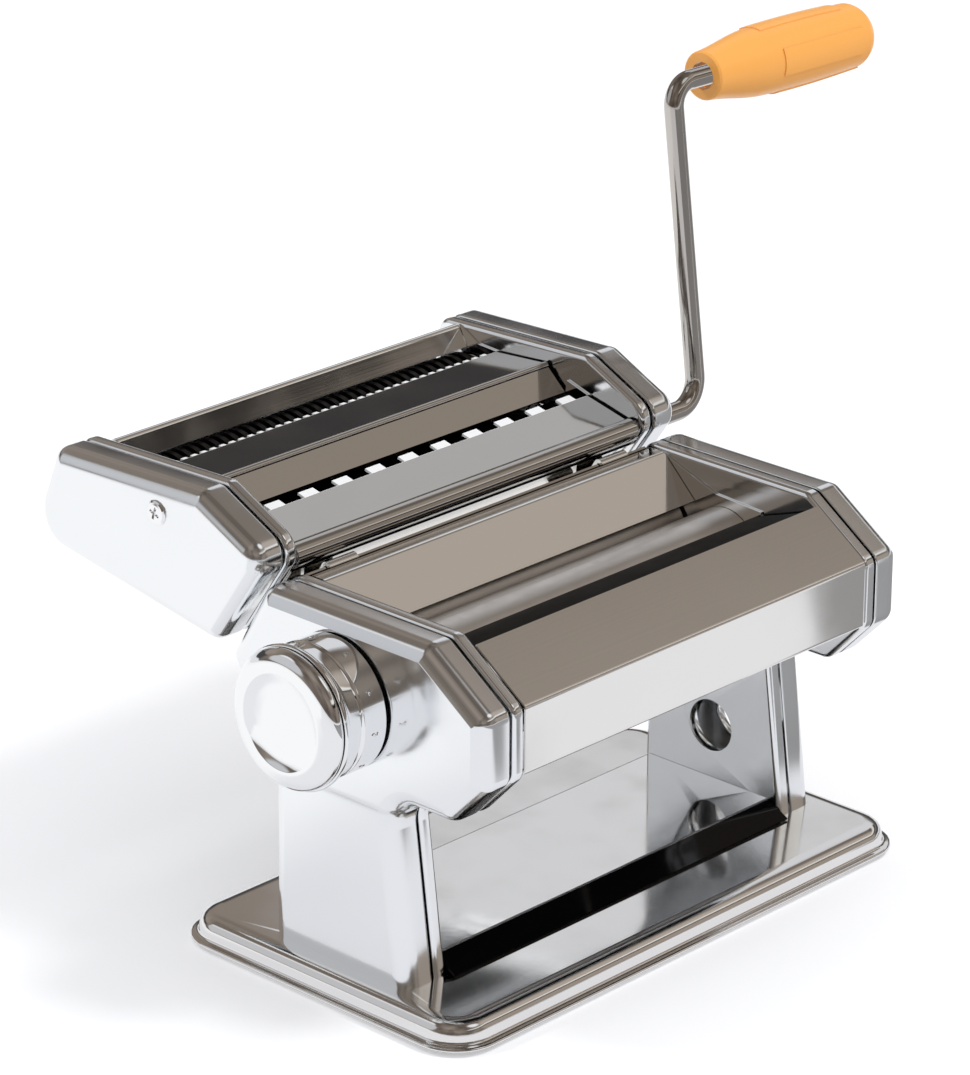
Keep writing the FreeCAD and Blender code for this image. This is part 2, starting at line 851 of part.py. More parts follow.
def base_plate():
    body = new_body("base_plate")
    length, depth = cells.base_half_length, cells.base_half_depth
    sketch = new_sketch(body, "XY_Plane", cells.base_rim_low)
    draw_outline(sketch, [(-length, -depth), (length, -depth), (length, depth), (-length, depth)])
    pad(body, sketch, cells.base_top - cells.base_rim_low)
    upright = lambda edge: edge.BoundBox.ZLength > TINY and edge.BoundBox.XLength < TINY
    round_edges(body, edge_names(body.Tip.Shape, upright), cells.base_corner)
    top = cells.base_top.value
    on_top = lambda edge: edge.BoundBox.ZMin > top - TINY
    step = dress_up(body, "PartDesign::Chamfer", edge_names(body.Tip.Shape, on_top))
    step.ChamferType = 1
    bind(step, Size=cells.base_step_drop, Size2=cells.base_step)
    body.Tip = step
    doc.recompute()
    under = ["Face%d" % (i + 1) for i, f in enumerate(body.Tip.Shape.Faces)
             if f.BoundBox.ZMax < cells.base_rim_low.value + TINY]
    shell = dress_up(body, "PartDesign::Thickness", under)
    bind(shell, Value=cells.sheet_wall)
    shell.Reversed = True
    body.Tip = shell
    doc.recompute()
    sketch = new_sketch(body, "XY_Plane", cells.base_top)
    for along_x, depth in screw_places():
        draw_circle(sketch, along_x, depth, cells.screw_radius + cells.running_clearance)
    pocket(body, sketch, cells.sheet_wall + cells.cut_spare)
    return keep("base_plate", body)


def screw_places():
    """Where the screws come up through the base into the feet of the side covers."""
    across = cover_mouth + cells.cover_depth / 2
    return [(across * side, cells.screw_spread * end) for side in (-1, 1) for end in (-1, 1)]


def base_screws():
    screws = []
    low = cells.base_top - cells.sheet_wall
    for along_x, depth in screw_places():
        shank = doc.addObject("Part::Cylinder", "shank")
        bind(shank, Radius=cells.screw_radius, Height=cells.screw_length)
        place(shank, along_x, depth, low)
        head = doc.addObject("Part::Cylinder", "head")
        bind(head, Radius=cells.screw_head_radius, Height=cells.screw_head_height)
        place(head, along_x, depth, low - cells.screw_head_height)
        screws.append(fuse("base_screw", [head, shank]))
    return keep("base_screws", group("base_screws", screws))


def rubber_feet():
    feet = []
    for side in (-1, 1):
        for end in (-1, 1):
            foot = doc.addObject("Part::Cone", "foot")
            bind(foot, Radius1=cells.foot_radius - cells.foot_taper, Radius2=cells.foot_radius,
                 Height=cells.base_top - cells.sheet_wall)
            place(foot, (cells.base_half_length - cells.foot_inset) * side,
                  (cells.base_half_depth - cells.foot_inset) * end, 0.0)
            feet.append(foot)
    return keep("rubber_feet", group("rubber_feet", feet))


def foot_tray():
    toe_height = cells.base_top + cells.sheet_wall
    corners = [(cells.tray_toe, toe_height), (cells.tray_front, cells.tray_top),
               (cells.tray_rear, cells.tray_top), (cells.tray_rear, cells.base_top)]
    return keep("foot_tray", bent_sheet("foot_tray", -inside, inside, corners, -1,
                                        cells.sheet_wall, cells.panel_bend))


# Body sides: an inner plate and an outer cover, each a tray pressed to the same outline

body_outline = [
    (cells.leg_front_foot, cells.base_top, None),
    (cells.leg_front_neck, cells.chin_height, cells.neck_corner),
    (cells.chin_depth, cells.chin_height, cells.body_corner),
    (cells.face_depth, cells.face_low, cells.body_corner),
    (cells.face_depth, cells.face_high, cells.body_corner),
    (cells.brow_depth, cells.top_height, cells.body_corner),
    (cells.crown_depth, cells.top_height, cells.body_corner),
    (cells.back_depth, cells.back_height, cells.body_corner),
    (cells.leg_rear_neck, cells.leg_rear_neck_height, cells.waist_corner),
    (cells.leg_rear_foot, cells.base_top, None),
]
crown = (cells.crown_depth, cells.top_height)
back = (cells.back_depth, cells.back_height)
rod_places = [
    (cells.front_low_rod_depth, cells.front_low_rod_height),
    (cells.rear_low_rod_depth, cells.rear_low_rod_height),
    (cells.front_rod_depth, cells.front_rod_height),
    (cells.top_rod_depth, cells.top_rod_height),
]


def side_plates():
    bush_radius = cells.shaft_radius + cells.running_clearance + cells.bush_wall
    half_height = cells.block_height / 2 + cells.running_clearance
    front = front_roller_depth - cells.block_front - cells.side_clearance
    rear = front_roller_depth + cells.block_rear + cells.gap_travel + cells.side_clearance
    low, high = cells.roller_height - half_height, cells.roller_height + half_height

    def draw(sketch):
        draw_circle(sketch, cells.rear_roller_depth, cells.roller_height, bush_radius)
        draw_outline(sketch, [(front, low), (rear, low), (rear, high), (front, high)])
        for depth, height in rod_places:
            draw_circle(sketch, depth, height, cells.tie_rod_thread + cells.running_clearance)

    for name, side in SIDES:
        mouth, face = flange_edge * side, half_gap * side
        body = pressed_tray("%s_side_plate" % name, body_outline, mouth, face,
                            cells.plate_wall, cells.flange_bend)
        side_holes(body, mouth, face, draw)
        if side > 0:
            clamp_rim(body, half_gap, cells.clamp_rim_depth)
        keep("%s_side_plate" % name, body)


def clamp_rim(body, start, length):
    """The drawn collar of the clamp hole: a short tube, bored through the sheet."""
    place_yz = (0.0, cells.clamp_hole_height)
    sketch = new_sketch(body, "YZ_Plane", start)
    draw_circle(sketch, *place_yz, cells.clamp_hole_radius + cells.sheet_wall)
    pad(body, sketch, length)
    sketch = new_sketch(body, "YZ_Plane", start)
    draw_circle(sketch, *place_yz, cells.clamp_hole_radius)
    pocket(body, sketch, length, True)


def side_covers():
    dial_bush_radius = cells.dial_shaft_radius + cells.running_clearance + cells.bush_wall
    crank_bush_radius = cells.shaft_radius + cells.running_clearance + cells.bush_wall
    for name, side in SIDES:
        mouth, face = cover_mouth * side, cover_face * side
        body = pressed_tray("%s_cover" % name, body_outline, mouth, face,
                            cells.sheet_wall, cells.cover_edge)
        if side > 0:
            hole = (cells.rear_roller_depth, cells.roller_height, crank_bush_radius)
        else:
            hole = (cells.dial_depth, cells.roller_height, dial_bush_radius)
        side_holes(body, mouth, face, lambda sketch: draw_circle(sketch, *hole))
        if side > 0:
            clamp_rim(body, face - cells.clamp_rim_depth, cells.clamp_rim_depth)
        sketch = new_sketch(body, "XY_Plane", cells.base_top)
        for along_x, depth in screw_places():
            if along_x.value * side > 0:
                draw_circle(sketch, along_x, depth, cells.screw_radius + cells.running_clearance)
        pocket(body, sketch, cells.sheet_wall + cells.cut_spare, True)
        keep("%s_cover" % name, body)


def tie_rod_set(label, places, radius):
    """Rods between the plates, each with a thinner threaded end through either plate."""
    rods = []
    end, shoulder = cells.tie_rod_end, half_gap
    for depth, height in places:
        rods.append(turned(label, [
            (-end, 0.0), (-end, cells.tie_rod_thread), (-shoulder, cells.tie_rod_thread),
            (-shoulder, radius), (shoulder, radius), (shoulder, cells.tie_rod_thread),
            (end, cells.tie_rod_thread), (end, 0.0)], depth, height))
    return keep(label, group(label, rods))


def tie_rod_nuts(label, places):
    """A nut on each end of the rods, outside the plates."""
    nuts = []
    start = half_gap + cells.plate_wall
    for depth, height in places:
        for side in (-1, 1):
            from_x = start if side > 0 else -cells.tie_rod_end
            outer = cylinder("nut", from_x, cells.tie_rod_end - start, depth, height,
                             cells.nut_radius)
            bore = cylinder("nut_bore", from_x, cells.tie_rod_end - start, depth, height,
                            cells.tie_rod_thread + cells.press_clearance)
            nuts.append(cut("nut", outer, bore))
    return keep(label, group(label, nuts))


# Panels of the body, bent sheets that span the gap between the side plates

def body_panels():
    face_low = (cells.face_depth, cells.face_low)
    face_high = (cells.face_depth, cells.face_high)
    brow = (cells.brow_depth, cells.top_height)
    slope_top = along(brow, face_high, cells.slope_edge)
    hem_end = (cells.face_depth + cells.panel_hem, cells.face_low)
    keep("front_panel", bent_sheet("front_panel", -inside, inside,
                                   [slope_top, face_high, face_low, hem_end], 1,
                                   cells.sheet_wall, cells.panel_bend))
    rear_neck = (cells.leg_rear_neck, cells.leg_rear_neck_height)
    keep("back_panel", bent_sheet("back_panel", -inside, inside,
                                  [along(crown, back, cells.back_panel_edge), back,
                                   along(back, rear_neck, cells.back_panel_drop)], -1,
                                  cells.sheet_wall, cells.panel_bend))
    hopper_low = (cells.hopper_low_depth, cells.hopper_low_height)
    hopper_top = (cells.hopper_top_depth, cells.hopper_top_height)
    ledge_end = (cells.hopper_top_depth + cells.hopper_ledge, cells.hopper_top_height)
    keep("hopper_rear_panel", bent_sheet("hopper_rear_panel", -half_roller, half_roller,
                                         [hopper_low, hopper_top, ledge_end], -1,
                                         cells.sheet_wall, cells.panel_bend))


def hopper_guides():
    """Flat cheeks at both ends of the hopper, which keep the dough off the side plates."""
    corners = [
        (cells.hopper_top_depth + cells.guide_top_reach,
         cells.hopper_top_height - cells.guide_top_drop),
        (cells.guide_knee_depth, cells.guide_knee_height),
        (cells.guide_front_depth, cells.guide_front_height),
        (cells.guide_front_depth, cells.guide_low_height),
        (cells.guide_knee_depth, cells.guide_low_height),
        (cells.hopper_low_depth, cells.hopper_low_height - cells.guide_toe_drop),
    ]
    start = inside - cells.guide_wall
    pair = [flat_plate("guide", start, inside, corners),
            flat_plate("guide", -inside, -start, corners)]
    return keep("hopper_guides", group("hopper_guides", pair))


def scraper(label, roller_depth, tip_side, rod):
    """A thin blade from just under a roller down to the tie rod that carries it."""
    reach = cells.roller_radius + cells.scraper_gap
    tip = (roller_depth + cells.scraper_offset * tip_side,
           cells.roller_height - root(reach * reach - cells.scraper_offset * cells.scraper_offset))
    foot = along(rod, tip, cells.tie_rod_radius + cells.rod_gap)
    return keep(label, bent_sheet(label, -inside, inside, [tip, foot], tip_side,
                                  cells.scraper_wall))


# Rollers and their gears

def roller(label, depth):
    """A smooth steel tube with a solid end at either side, pressed on its shaft."""
    bore = cells.shaft_radius + cells.press_clearance
    end = half_roller - cells.roller_end
    profile = [
        (-half_roller, bore), (-half_roller, cells.roller_radius),
        (half_roller, cells.roller_radius), (half_roller, bore), (end, bore),
        (end, cells.roller_bore), (-end, cells.roller_bore), (-end, bore)]
    return keep(label, turned(label, profile, depth, cells.roller_height))


def roller_shaft(label, depth, right_end, socket):
    """A plain shaft, bored at the right where the crank plugs in."""
    left = -cells.shaft_left_end
    profile = [(left, 0.0), (left, cells.shaft_radius), (right_end, cells.shaft_radius)]
    if socket:
        mouth_end = right_end - cells.socket_depth
        profile += [(right_end, cells.socket_radius), (mouth_end, cells.socket_radius),
                    (mouth_end, 0.0)]
    else:
        profile += [(right_end, 0.0)]
    return keep(label, turned(label, profile, depth, cells.roller_height))


def tooth_flank(pitch_radius, base_radius, tip_radius, root_radius, half_angle):
    """Points up one involute flank, from the root circle to the tip circle."""
    def spread(radius):
        turn = math.acos(min(1.0, base_radius / radius))
        return math.tan(turn) - turn
    zero = half_angle + spread(pitch_radius)
    points = [(root_radius, zero)]
    steps = 4
    for i in range(steps + 1):
        radius = base_radius + (tip_radius - base_radius) * i / steps
        points.append((radius, zero - spread(radius)))
    return points


def gear(label, depth, height, pitch_radius, teeth, addendum, bore, phase_share):
    """A spur gear with involute teeth; phase_share turns it by a share of one tooth."""
    count = int(teeth.value)
    rolling = pitch_radius.value
    tip_radius = rolling + addendum.value
    root_radius = rolling - addendum.value - cells.gear_tip_room.value
    base_radius = rolling * math.cos(math.radians(20.0))
    half_angle = math.pi / count / 2 - cells.gear_backlash.value / rolling / 2
    flank = tooth_flank(rolling, base_radius, tip_radius, root_radius, half_angle)
    edges = []

    def point(radius, angle):
        return V(0.0, radius * math.cos(angle), radius * math.sin(angle))

    for i in range(count):
        middle = 2 * math.pi * (i + phase_share) / count
        following = 2 * math.pi * (i + 1 + phase_share) / count
        rising = [point(radius, middle - angle) for radius, angle in flank]
        falling = [point(radius, middle + angle) for radius, angle in reversed(flank)]
        next_foot = point(flank[0][0], following - flank[0][1])
        valley = point(root_radius, (middle + following) / 2)
        edges.append(Part.LineSegment(rising[0], rising[1]).toShape())
        edges.append(flank_curve(rising[1:]))
        edges.append(Part.Arc(rising[-1], point(tip_radius, middle), falling[0]).toShape())
        edges.append(flank_curve(falling[:-1]))
        edges.append(Part.LineSegment(falling[-2], falling[-1]).toShape())
        edges.append(Part.Arc(falling[-1], valley, next_foot).toShape())
    face = Part.Face(Part.Wire(Part.__sortEdges__(edges)))
    blank = face.extrude(V(cells.gear_width.value, 0, 0))
    hole = Part.makeCylinder(bore.value + cells.press_clearance.value,
                             cells.gear_width.value, V(0, 0, 0), V(1, 0, 0))
    feature = doc.addObject("Part::Feature", label)
    feature.Shape = blank.cut(hole)
    place(feature, cells.gear_start, depth, height)
    return keep(label, feature)


def flank_curve(points):
    """A smooth curve through the points of one tooth flank."""
    curve = Part.BSplineCurve()
    curve.interpolate(points)
    return curve.toShape()


def body_bushes():
    """Flanged bushes of the rear shaft: one in each side plate, one in the right cover."""
    inner = cells.shaft_radius + cells.running_clearance
    outer = inner + cells.bush_wall
    bushes = []
    for side in (-1, 1):
        profile = [
            (cells.block_start * side, inner),
            (cells.block_start * side, outer + cells.bush_flange),
            (inside * side, outer + cells.bush_flange), (inside * side, outer),
            (cells.bush_end * side, outer), (cells.bush_end * side, inner)]
        bushes.append(turned("rear_bush", profile, cells.rear_roller_depth, cells.roller_height))
    bushes.append(cover_bush("rear_bush", 1, cells.shaft_radius, cells.rear_roller_depth,
                             cells.roller_height))
    return keep("rear_bushes", group("rear_bushes", bushes))


def cover_bush(label, side, shaft_radius, depth, height):
    """A flanged bush in the face of a cover."""
    inner = shaft_radius + cells.running_clearance
    outer = inner + cells.bush_wall
    inside_face = cover_face - cells.sheet_wall
    flange = inside_face - cells.bush_wall
    profile = [
        (flange * side, inner), (flange * side, outer + cells.bush_flange),
        (inside_face * side, outer + cells.bush_flange), (inside_face * side, outer),
        (cover_face * side, outer), (cover_face * side, inner)]
    return turned(label, profile, depth, height)


def bearing_blocks():
    """Blocks that carry the front shaft and slide in the windows of the side plates."""
    front = front_roller_depth - cells.block_front
    rear = front_roller_depth + cells.block_rear
    low = cells.roller_height - cells.block_height / 2
    high = cells.roller_height + cells.block_height / 2
    corners = [(front, low), (rear, low), (rear, high), (front, high)]
    hole = (front_roller_depth, cells.roller_height, cells.shaft_radius + cells.running_clearance)
    start, end = cells.block_start, cells.block_start + cells.block_wall
    keep("right_bearing_block", flat_plate("right_bearing_block", start, end, corners, [hole]))
    left = flat_plate("left_bearing_block", -end, -start, corners, [hole])
    sketch = new_sketch(left, "YZ_Plane", -end)
    draw_circle(sketch, cells.dial_depth + cells.follower_open, cells.roller_height,
                cells.follower_radius)
    reach = cells.cam_start + cells.groove_depth - cells.follower_room
    pad(left, sketch, reach - end, True)
    keep("left_bearing_block", left)


# Thickness dial: a scroll cam behind the left cover, turned by the knob

def scroll_cam():
    """A disc with a spiral groove, in which the follower pin of the left block runs."""
    start = -(cells.cam_start + cells.cam_wall).value
    disc = Part.makeCylinder(cells.cam_radius.value, cells.cam_wall.value, V(0, 0, 0), V(1, 0, 0))
    hub = cells.dial_shaft_radius.value + cells.press_clearance.value
    bore = Part.makeCylinder(hub, cells.cam_wall.value, V(0, 0, 0), V(1, 0, 0))
    half_width = cells.follower_radius.value + cells.groove_clearance.value
    spare = cells.groove_end_angle.value
    turn = cells.dial_turn_angle.value
    rate = cells.gap_travel.value / turn
    face = cells.cam_wall.value

    def spiral(offset):
        points = []
        steps = 36
        for i in range(steps + 1):
            degrees = -spare + (turn + 2 * spare) * i / steps
            radius = cells.follower_open.value + rate * degrees + offset
            angle = math.radians(degrees)
            points.append(V(face, radius * math.cos(angle), radius * math.sin(angle)))
        curve = Part.BSplineCurve()
        curve.interpolate(points)
        return curve.toShape(), points[0], points[-1]

    inner, inner_start, inner_end = spiral(-half_width)
    outer, outer_start, outer_end = spiral(half_width)
    ends = [Part.LineSegment(inner_end, outer_end).toShape(),
            Part.LineSegment(outer_start, inner_start).toShape()]
    outline = Part.Wire(Part.__sortEdges__([inner, ends[0], outer, ends[1]]))
    groove = Part.Face(outline).extrude(V(-cells.groove_depth.value, 0, 0))
    feature = doc.addObject("Part::Feature", "scroll_cam")
    feature.Shape = disc.cut(bore).cut(groove)
    place(feature, start, cells.dial_depth, cells.roller_height)
    bind_x = -(cells.cam_start + cells.cam_wall)
    feature.setExpression("Placement.Base.x", bind_x.formula)
    return keep("scroll_cam", feature)


def dial_shaft():
    start = cells.cam_start
    step = cells.shaft_nut_start
    end = step + cells.shaft_nut_wall
    profile = [(-start, 0.0), (-start, cells.dial_shaft_radius),
               (-step, cells.dial_shaft_radius), (-step, cells.dial_thread_radius),
               (-end, cells.dial_thread_radius), (-end, 0.0)]
    keep("dial_shaft", turned("dial_shaft", profile, cells.dial_depth, cells.roller_height))
    outer = cylinder("nut_blank", -end, cells.shaft_nut_wall, cells.dial_depth,
                     cells.roller_height, cells.shaft_nut_radius)
    bore = cylinder("nut_thread", -end, cells.shaft_nut_wall, cells.dial_depth,
                    cells.roller_height, cells.dial_thread_radius + cells.press_clearance)
    keep("shaft_nut", cut("shaft_nut", outer, bore))


def index_plate():
    """A flat ring on the cover with ten holes, one for each thickness."""
    body = new_body("index_plate")
    sketch = new_sketch(body, "YZ_Plane", -cover_face)
    draw_circle(sketch, 0.0, 0.0, cells.index_outer)
    draw_circle(sketch, 0.0, 0.0, cells.index_inner)
    pad(body, sketch, cells.index_wall, True)
    sketch = new_sketch(body, "YZ_Plane", -cover_face)
    draw_circle(sketch, 0.0, cells.index_circle, cells.index_hole_radius)
    hole = pocket(body, sketch, cells.index_wall)
    ring = body.newObject("PartDesign::PolarPattern", "ring")
    ring.Originals = [hole]
    ring.Axis = ([f for f in body.Origin.OriginFeatures if f.Role == "X_Axis"][0], [""])
    ring.Angle = 360.0
    ring.Occurrences = int(cells.index_holes.value)
    ring.setExpression("Occurrences", cells.index_holes.formula)
    body.Tip = ring
    place(body, 0.0, cells.dial_depth, cells.roller_height)
    return keep("index_plate", body)


def knob():
    slide = cells.dial_shaft_radius + cells.running_clearance
    start, back_end = cells.knob_start, cells.knob_start + cells.knob_wall
    inner = cells.knob_radius - cells.knob_wall
    profile = [
        (-start, slide), (-start, cells.knob_radius),
        (-cells.knob_skirt_end, cells.knob_radius),
        (-cells.knob_skirt_end, cells.knob_rim_radius),
        (-cells.knob_rim_end, cells.knob_rim_radius), (-cells.knob_rim_end, inner),
        (-back_end, inner), (-back_end, cells.knob_hub_radius),
        (-cells.knob_hub_end, cells.knob_hub_radius), (-cells.knob_hub_end, slide)]
    body = turned("knob_body", profile, cells.dial_depth, cells.roller_height)
    sketch = new_sketch(body, "YZ_Plane", -start)
    draw_circle(sketch, 0.0, cells.index_circle, cells.index_pin_radius + cells.press_clearance)
    pocket(body, sketch, cells.knob_wall)
    keep("knob_body", body)

    plate_top = cover_face + cells.index_wall
    pin_tip = plate_top + cells.index_pin_clearance
    keep("index_pin", cylinder("index_pin", -back_end, back_end - pin_tip, cells.dial_depth,
                               cells.roller_height + cells.index_circle, cells.index_pin_radius))

    rim = cells.knob_rim_radius - cells.cap_rim_gap
    plug = inner - cells.press_clearance
    wall = cells.knob_cap_wall
    seat, end = cells.knob_rim_end, cells.knob_cap_end
    cap = turned("knob_cap", [
        (-end, 0.0), (-end, rim), (-seat, rim), (-seat, plug), (-(seat - wall), plug),
        (-(seat - wall), plug - wall), (-(end - wall), plug - wall), (-(end - wall), 0.0)],
        cells.dial_depth, cells.roller_height)
    rim_edge = lambda edge: (abs(edge.BoundBox.XMin + end.value) < TINY
                             and edge.BoundBox.YLength > rim.value)
    round_edges(cap, edge_names(cap.Tip.Shape, rim_edge), cells.knob_cap_round)
    keep("knob_cap", cap)


def arc_towards(start, corner, end):
    """An arc from start to end, whose ends both point at a corner as far from either."""
    middle = (start + end) / 2
    bow = corner - middle
    half_chord = (end - start).Length / 2
    turn = math.atan2(bow.Length, half_chord)
    top = middle + bow.normalize() * half_chord * math.tan(turn / 2)
    return Part.Arc(start, top, end).toShape()


def coil_line(radius, pitch, turns):
    """A coil about Z as pairs of smoothly joined arcs, two pairs to a turn."""
    rise = pitch / (2 * math.pi)

    def point(angle):
        return V(radius * math.cos(angle), radius * math.sin(angle), rise * angle)

    def heading(angle):
        return V(-radius * math.sin(angle), radius * math.cos(angle), rise).normalize()

    edges = []
    for i in range(2 * turns):
        start, end = point(math.pi * i), point(math.pi * (i + 1))
        out, into = heading(math.pi * i), heading(math.pi * (i + 1))
        chord = end - start
        bend = 2 * (out.dot(into) - 1)
        both = chord.dot(out + into)
        reach = (both - math.sqrt(both * both - bend * chord.dot(chord))) / bend
        first, last = start + out * reach, end - into * reach
        middle = (first + last) / 2
        edges += [arc_towards(start, first, middle), arc_towards(middle, last, end)]
    return Part.Wire(edges), point(0), heading(0)


def knob_spring():
    """The coil spring between the knob's hub and the nut, which pulls the knob home."""
    start = cells.knob_hub_end.value + cells.side_clearance.value
    length = cells.shaft_nut_start.value - start - cells.side_clearance.value
    wire = cells.spring_wire.value
    radius = (cells.dial_shaft_radius + cells.spring_clearance).value + wire
    turns = int(cells.spring_turns.value)
    pitch = (length - 2 * wire) / turns
    line, mouth, heading = coil_line(radius, pitch, turns)
    ring = Part.Wire([Part.Circle(mouth, heading, wire).toShape()])
    feature = doc.addObject("Part::Feature", "knob_spring")
    feature.Shape = line.makePipeShell([ring], True, False)
    place(feature, -(start + wire), cells.dial_depth, cells.roller_height,
          FreeCAD.Rotation(V(0, 1, 0), -90))
    return keep("knob_spring", feature)


# Cutter head: side plates and covers of its own, two pairs of grooved rollers and their combs

cutter_outline = [
    (cells.cutter_front_top, cells.cutter_front_top_height, cells.cutter_top_corner),
    (cells.cutter_rear_top, cells.cutter_rear_top_height, cells.body_corner),
    (cells.cutter_rear_low, cells.cutter_rear_low_height, cells.cutter_rear_corner),
    (cells.cutter_front_low, cells.cutter_front_low_height, cells.body_corner),
    (cells.cutter_nose, cells.cutter_nose_height, cells.cutter_nose_corner),
]
fine_rear_depth = cells.fine_depth + cells.cutter_axes_apart
wide_rear_depth = cells.wide_depth + cells.cutter_axes_apart
cutter_axes = [
    (cells.fine_depth, cells.fine_height), (fine_rear_depth, cells.fine_height),
    (cells.wide_depth, cells.wide_height), (wide_rear_depth, cells.wide_height),
]
socket_axes = [cutter_axes[0], cutter_axes[2]]
# The first of these rods carries the front guard, and its ends are peened over
cutter_rods = [
    (cells.bar_depth, cells.bar_height),
    (cells.cutter_mid_rod_depth, cells.cutter_mid_rod_height),
    (cells.cutter_rear_rod_depth, cells.cutter_rear_rod_height),
]
cutter_bush_radius = cells.cutter_shaft_radius + cells.running_clearance + cells.bush_wall


def cutter_sides():
    def draw_plate(sketch):
        for depth, height in cutter_axes:
            draw_circle(sketch, depth, height, cutter_bush_radius)
        for depth, height in cutter_rods:
            draw_circle(sketch, depth, height, cells.tie_rod_thread + cells.running_clearance)
        draw_circle(sketch, cells.cover_screw_depth, cells.cover_screw_height,
                    cells.cover_screw_shank + cells.running_clearance)

    def draw_screw_hole(sketch):
        draw_circle(sketch, cells.cover_screw_depth, cells.cover_screw_height,
                    cells.cover_screw_shank + cells.running_clearance)

    def draw_cover(sketch):
        draw_screw_hole(sketch)
        for depth, height in socket_axes:
            draw_circle(sketch, depth, height, cutter_bush_radius)

    for name, side in SIDES:
        plate = pressed_tray("cutter_%s_plate" % name, cutter_outline, flange_edge * side,
                             half_gap * side, cells.plate_wall, cells.flange_bend)
        side_holes(plate, flange_edge * side, half_gap * side, draw_plate)
        keep("cutter_%s_plate" % name, plate)
        cover = pressed_tray("cutter_%s_cover" % name, cutter_outline, cover_mouth * side,
                             cover_face * side, cells.sheet_wall, cells.cover_edge)
        side_holes(cover, cover_mouth * side, cover_face * side,
                   draw_cover if side > 0 else draw_screw_hole)
        keep("cutter_%s_cover" % name, cover)


def cutter_screws():
    """The oval headed screw that holds each cover to its side plate."""
    screws = []
    for side in (-1, 1):
        face, tip = cover_face * side, half_gap * side
        head_top = (cover_face + cells.cover_screw_rise) * side
        edge = cells.cover_screw_head
        screws.append(turned("cutter_screw", [
            (tip, 0.0), (tip, cells.cover_screw_shank), (face, cells.cover_screw_shank),
            (face, edge), (face + cells.cover_screw_brim * side, edge),
            (head_top, edge - cells.cover_screw_dome), (head_top, 0.0)],
            cells.cover_screw_depth, cells.cover_screw_height))
    return keep("cutter_screws", group("cutter_screws", screws))


def cutter_bushes():
    """Flanged bushes of the four cutter shafts, and the two that guide the crank."""
    inner = cells.cutter_shaft_radius + cells.running_clearance
    outer = inner + cells.bush_wall
    bushes = []
    for depth, height in cutter_axes:
        for side in (-1, 1):
            profile = [
                (cells.block_start * side, inner),
                (cells.block_start * side, outer + cells.bush_flange),
                (inside * side, outer + cells.bush_flange), (inside * side, outer),
                (cells.bush_end * side, outer), (cells.bush_end * side, inner)]
            bushes.append(turned("cutter_bush", profile, depth, height))
    for depth, height in socket_axes:
        bushes.append(cover_bush("cutter_bush", 1, cells.cutter_shaft_radius, depth, height))
    return keep("cutter_bushes", group("cutter_bushes", bushes))


def rings_along(pitch):
    """How many cutting rings fit along a roller."""
    return whole((cells.roller_length - cells.ring_margin * 2) / pitch)


fine_rings = rings_along(cells.fine_pitch)
wide_rings = rings_along(cells.wide_pitch)


def cutter_roller(label, depth, height, first, pitch, width, rings, socket):
    """A bar with a row of square cutting rings, and a socket where the crank plugs in."""
    shaft, core = cells.cutter_shaft_radius, cells.cutter_core_radius
    left = -cells.shaft_left_end
    right = (cover_face + cells.socket_reach) if socket else (cells.gear_start + cells.gear_width)
    profile = [(left, 0.0), (left, shaft), (-half_roller, shaft), (-half_roller, core),
               (half_roller, core), (half_roller, shaft), (right, shaft)]
    if socket:
        floor = right - cells.socket_depth
        profile += [(right, cells.socket_radius), (floor, cells.socket_radius), (floor, 0.0)]
    else:
        profile += [(right, 0.0)]
    body = turned(label, profile, depth, height)
    sketch = new_sketch(body, "YZ_Plane", first - width / 2)
    draw_circle(sketch, 0.0, 0.0, cells.cutter_ring_radius)
    draw_circle(sketch, 0.0, 0.0, core - cells.ring_root)
    ring = pad(body, sketch, width)
    repeat_along_x(body, ring, pitch, rings)
    return keep(label, body)


def comb(label, depth, height, first, pitch, gap, fingers, nip_side):
    """A curved bar under a cutter roller with a finger in each of its grooves."""
    body = new_body(label)
    near = cells.cutter_ring_radius + cells.comb_clearance
    far = near + cells.comb_bar_wall
    reach = cells.cutter_core_radius + cells.comb_clearance
    finger = gap - cells.comb_finger_gap * 2
    sketch = new_sketch(body, "XZ_Plane")
    draw_outline(sketch, [(-inside, near), (inside, near), (inside, far), (-inside, far)])
    comb_turn(body, sketch)
    sketch = new_sketch(body, "XZ_Plane")
    left, right = first - finger / 2, first + finger / 2
    top = near + cells.comb_finger_root
    draw_outline(sketch, [(left, reach), (right, reach), (right, top), (left, top)])
    tooth = comb_turn(body, sketch)
    repeat_along_x(body, tooth, pitch, fingers)
    place(body, 0.0, depth, height)
    if nip_side > 0:
        start = cells.comb_nip_angle + 90.0
    else:
        start = 270.0 - cells.comb_nip_angle - cells.comb_turn_angle
    tilt(body, V(1, 0, 0), -start)
    return body


def comb_turn(body, sketch):
    """Turns a comb's section part of the way round its roller."""
    feature = body.newObject("PartDesign::Revolution", "arc")
    feature.Profile = sketch
    feature.ReferenceAxis = (sketch, ["H_Axis"])
    bind(feature, Angle=cells.comb_turn_angle)
    feature.Reversed = True
    body.Tip = feature
    doc.recompute()
    return feature


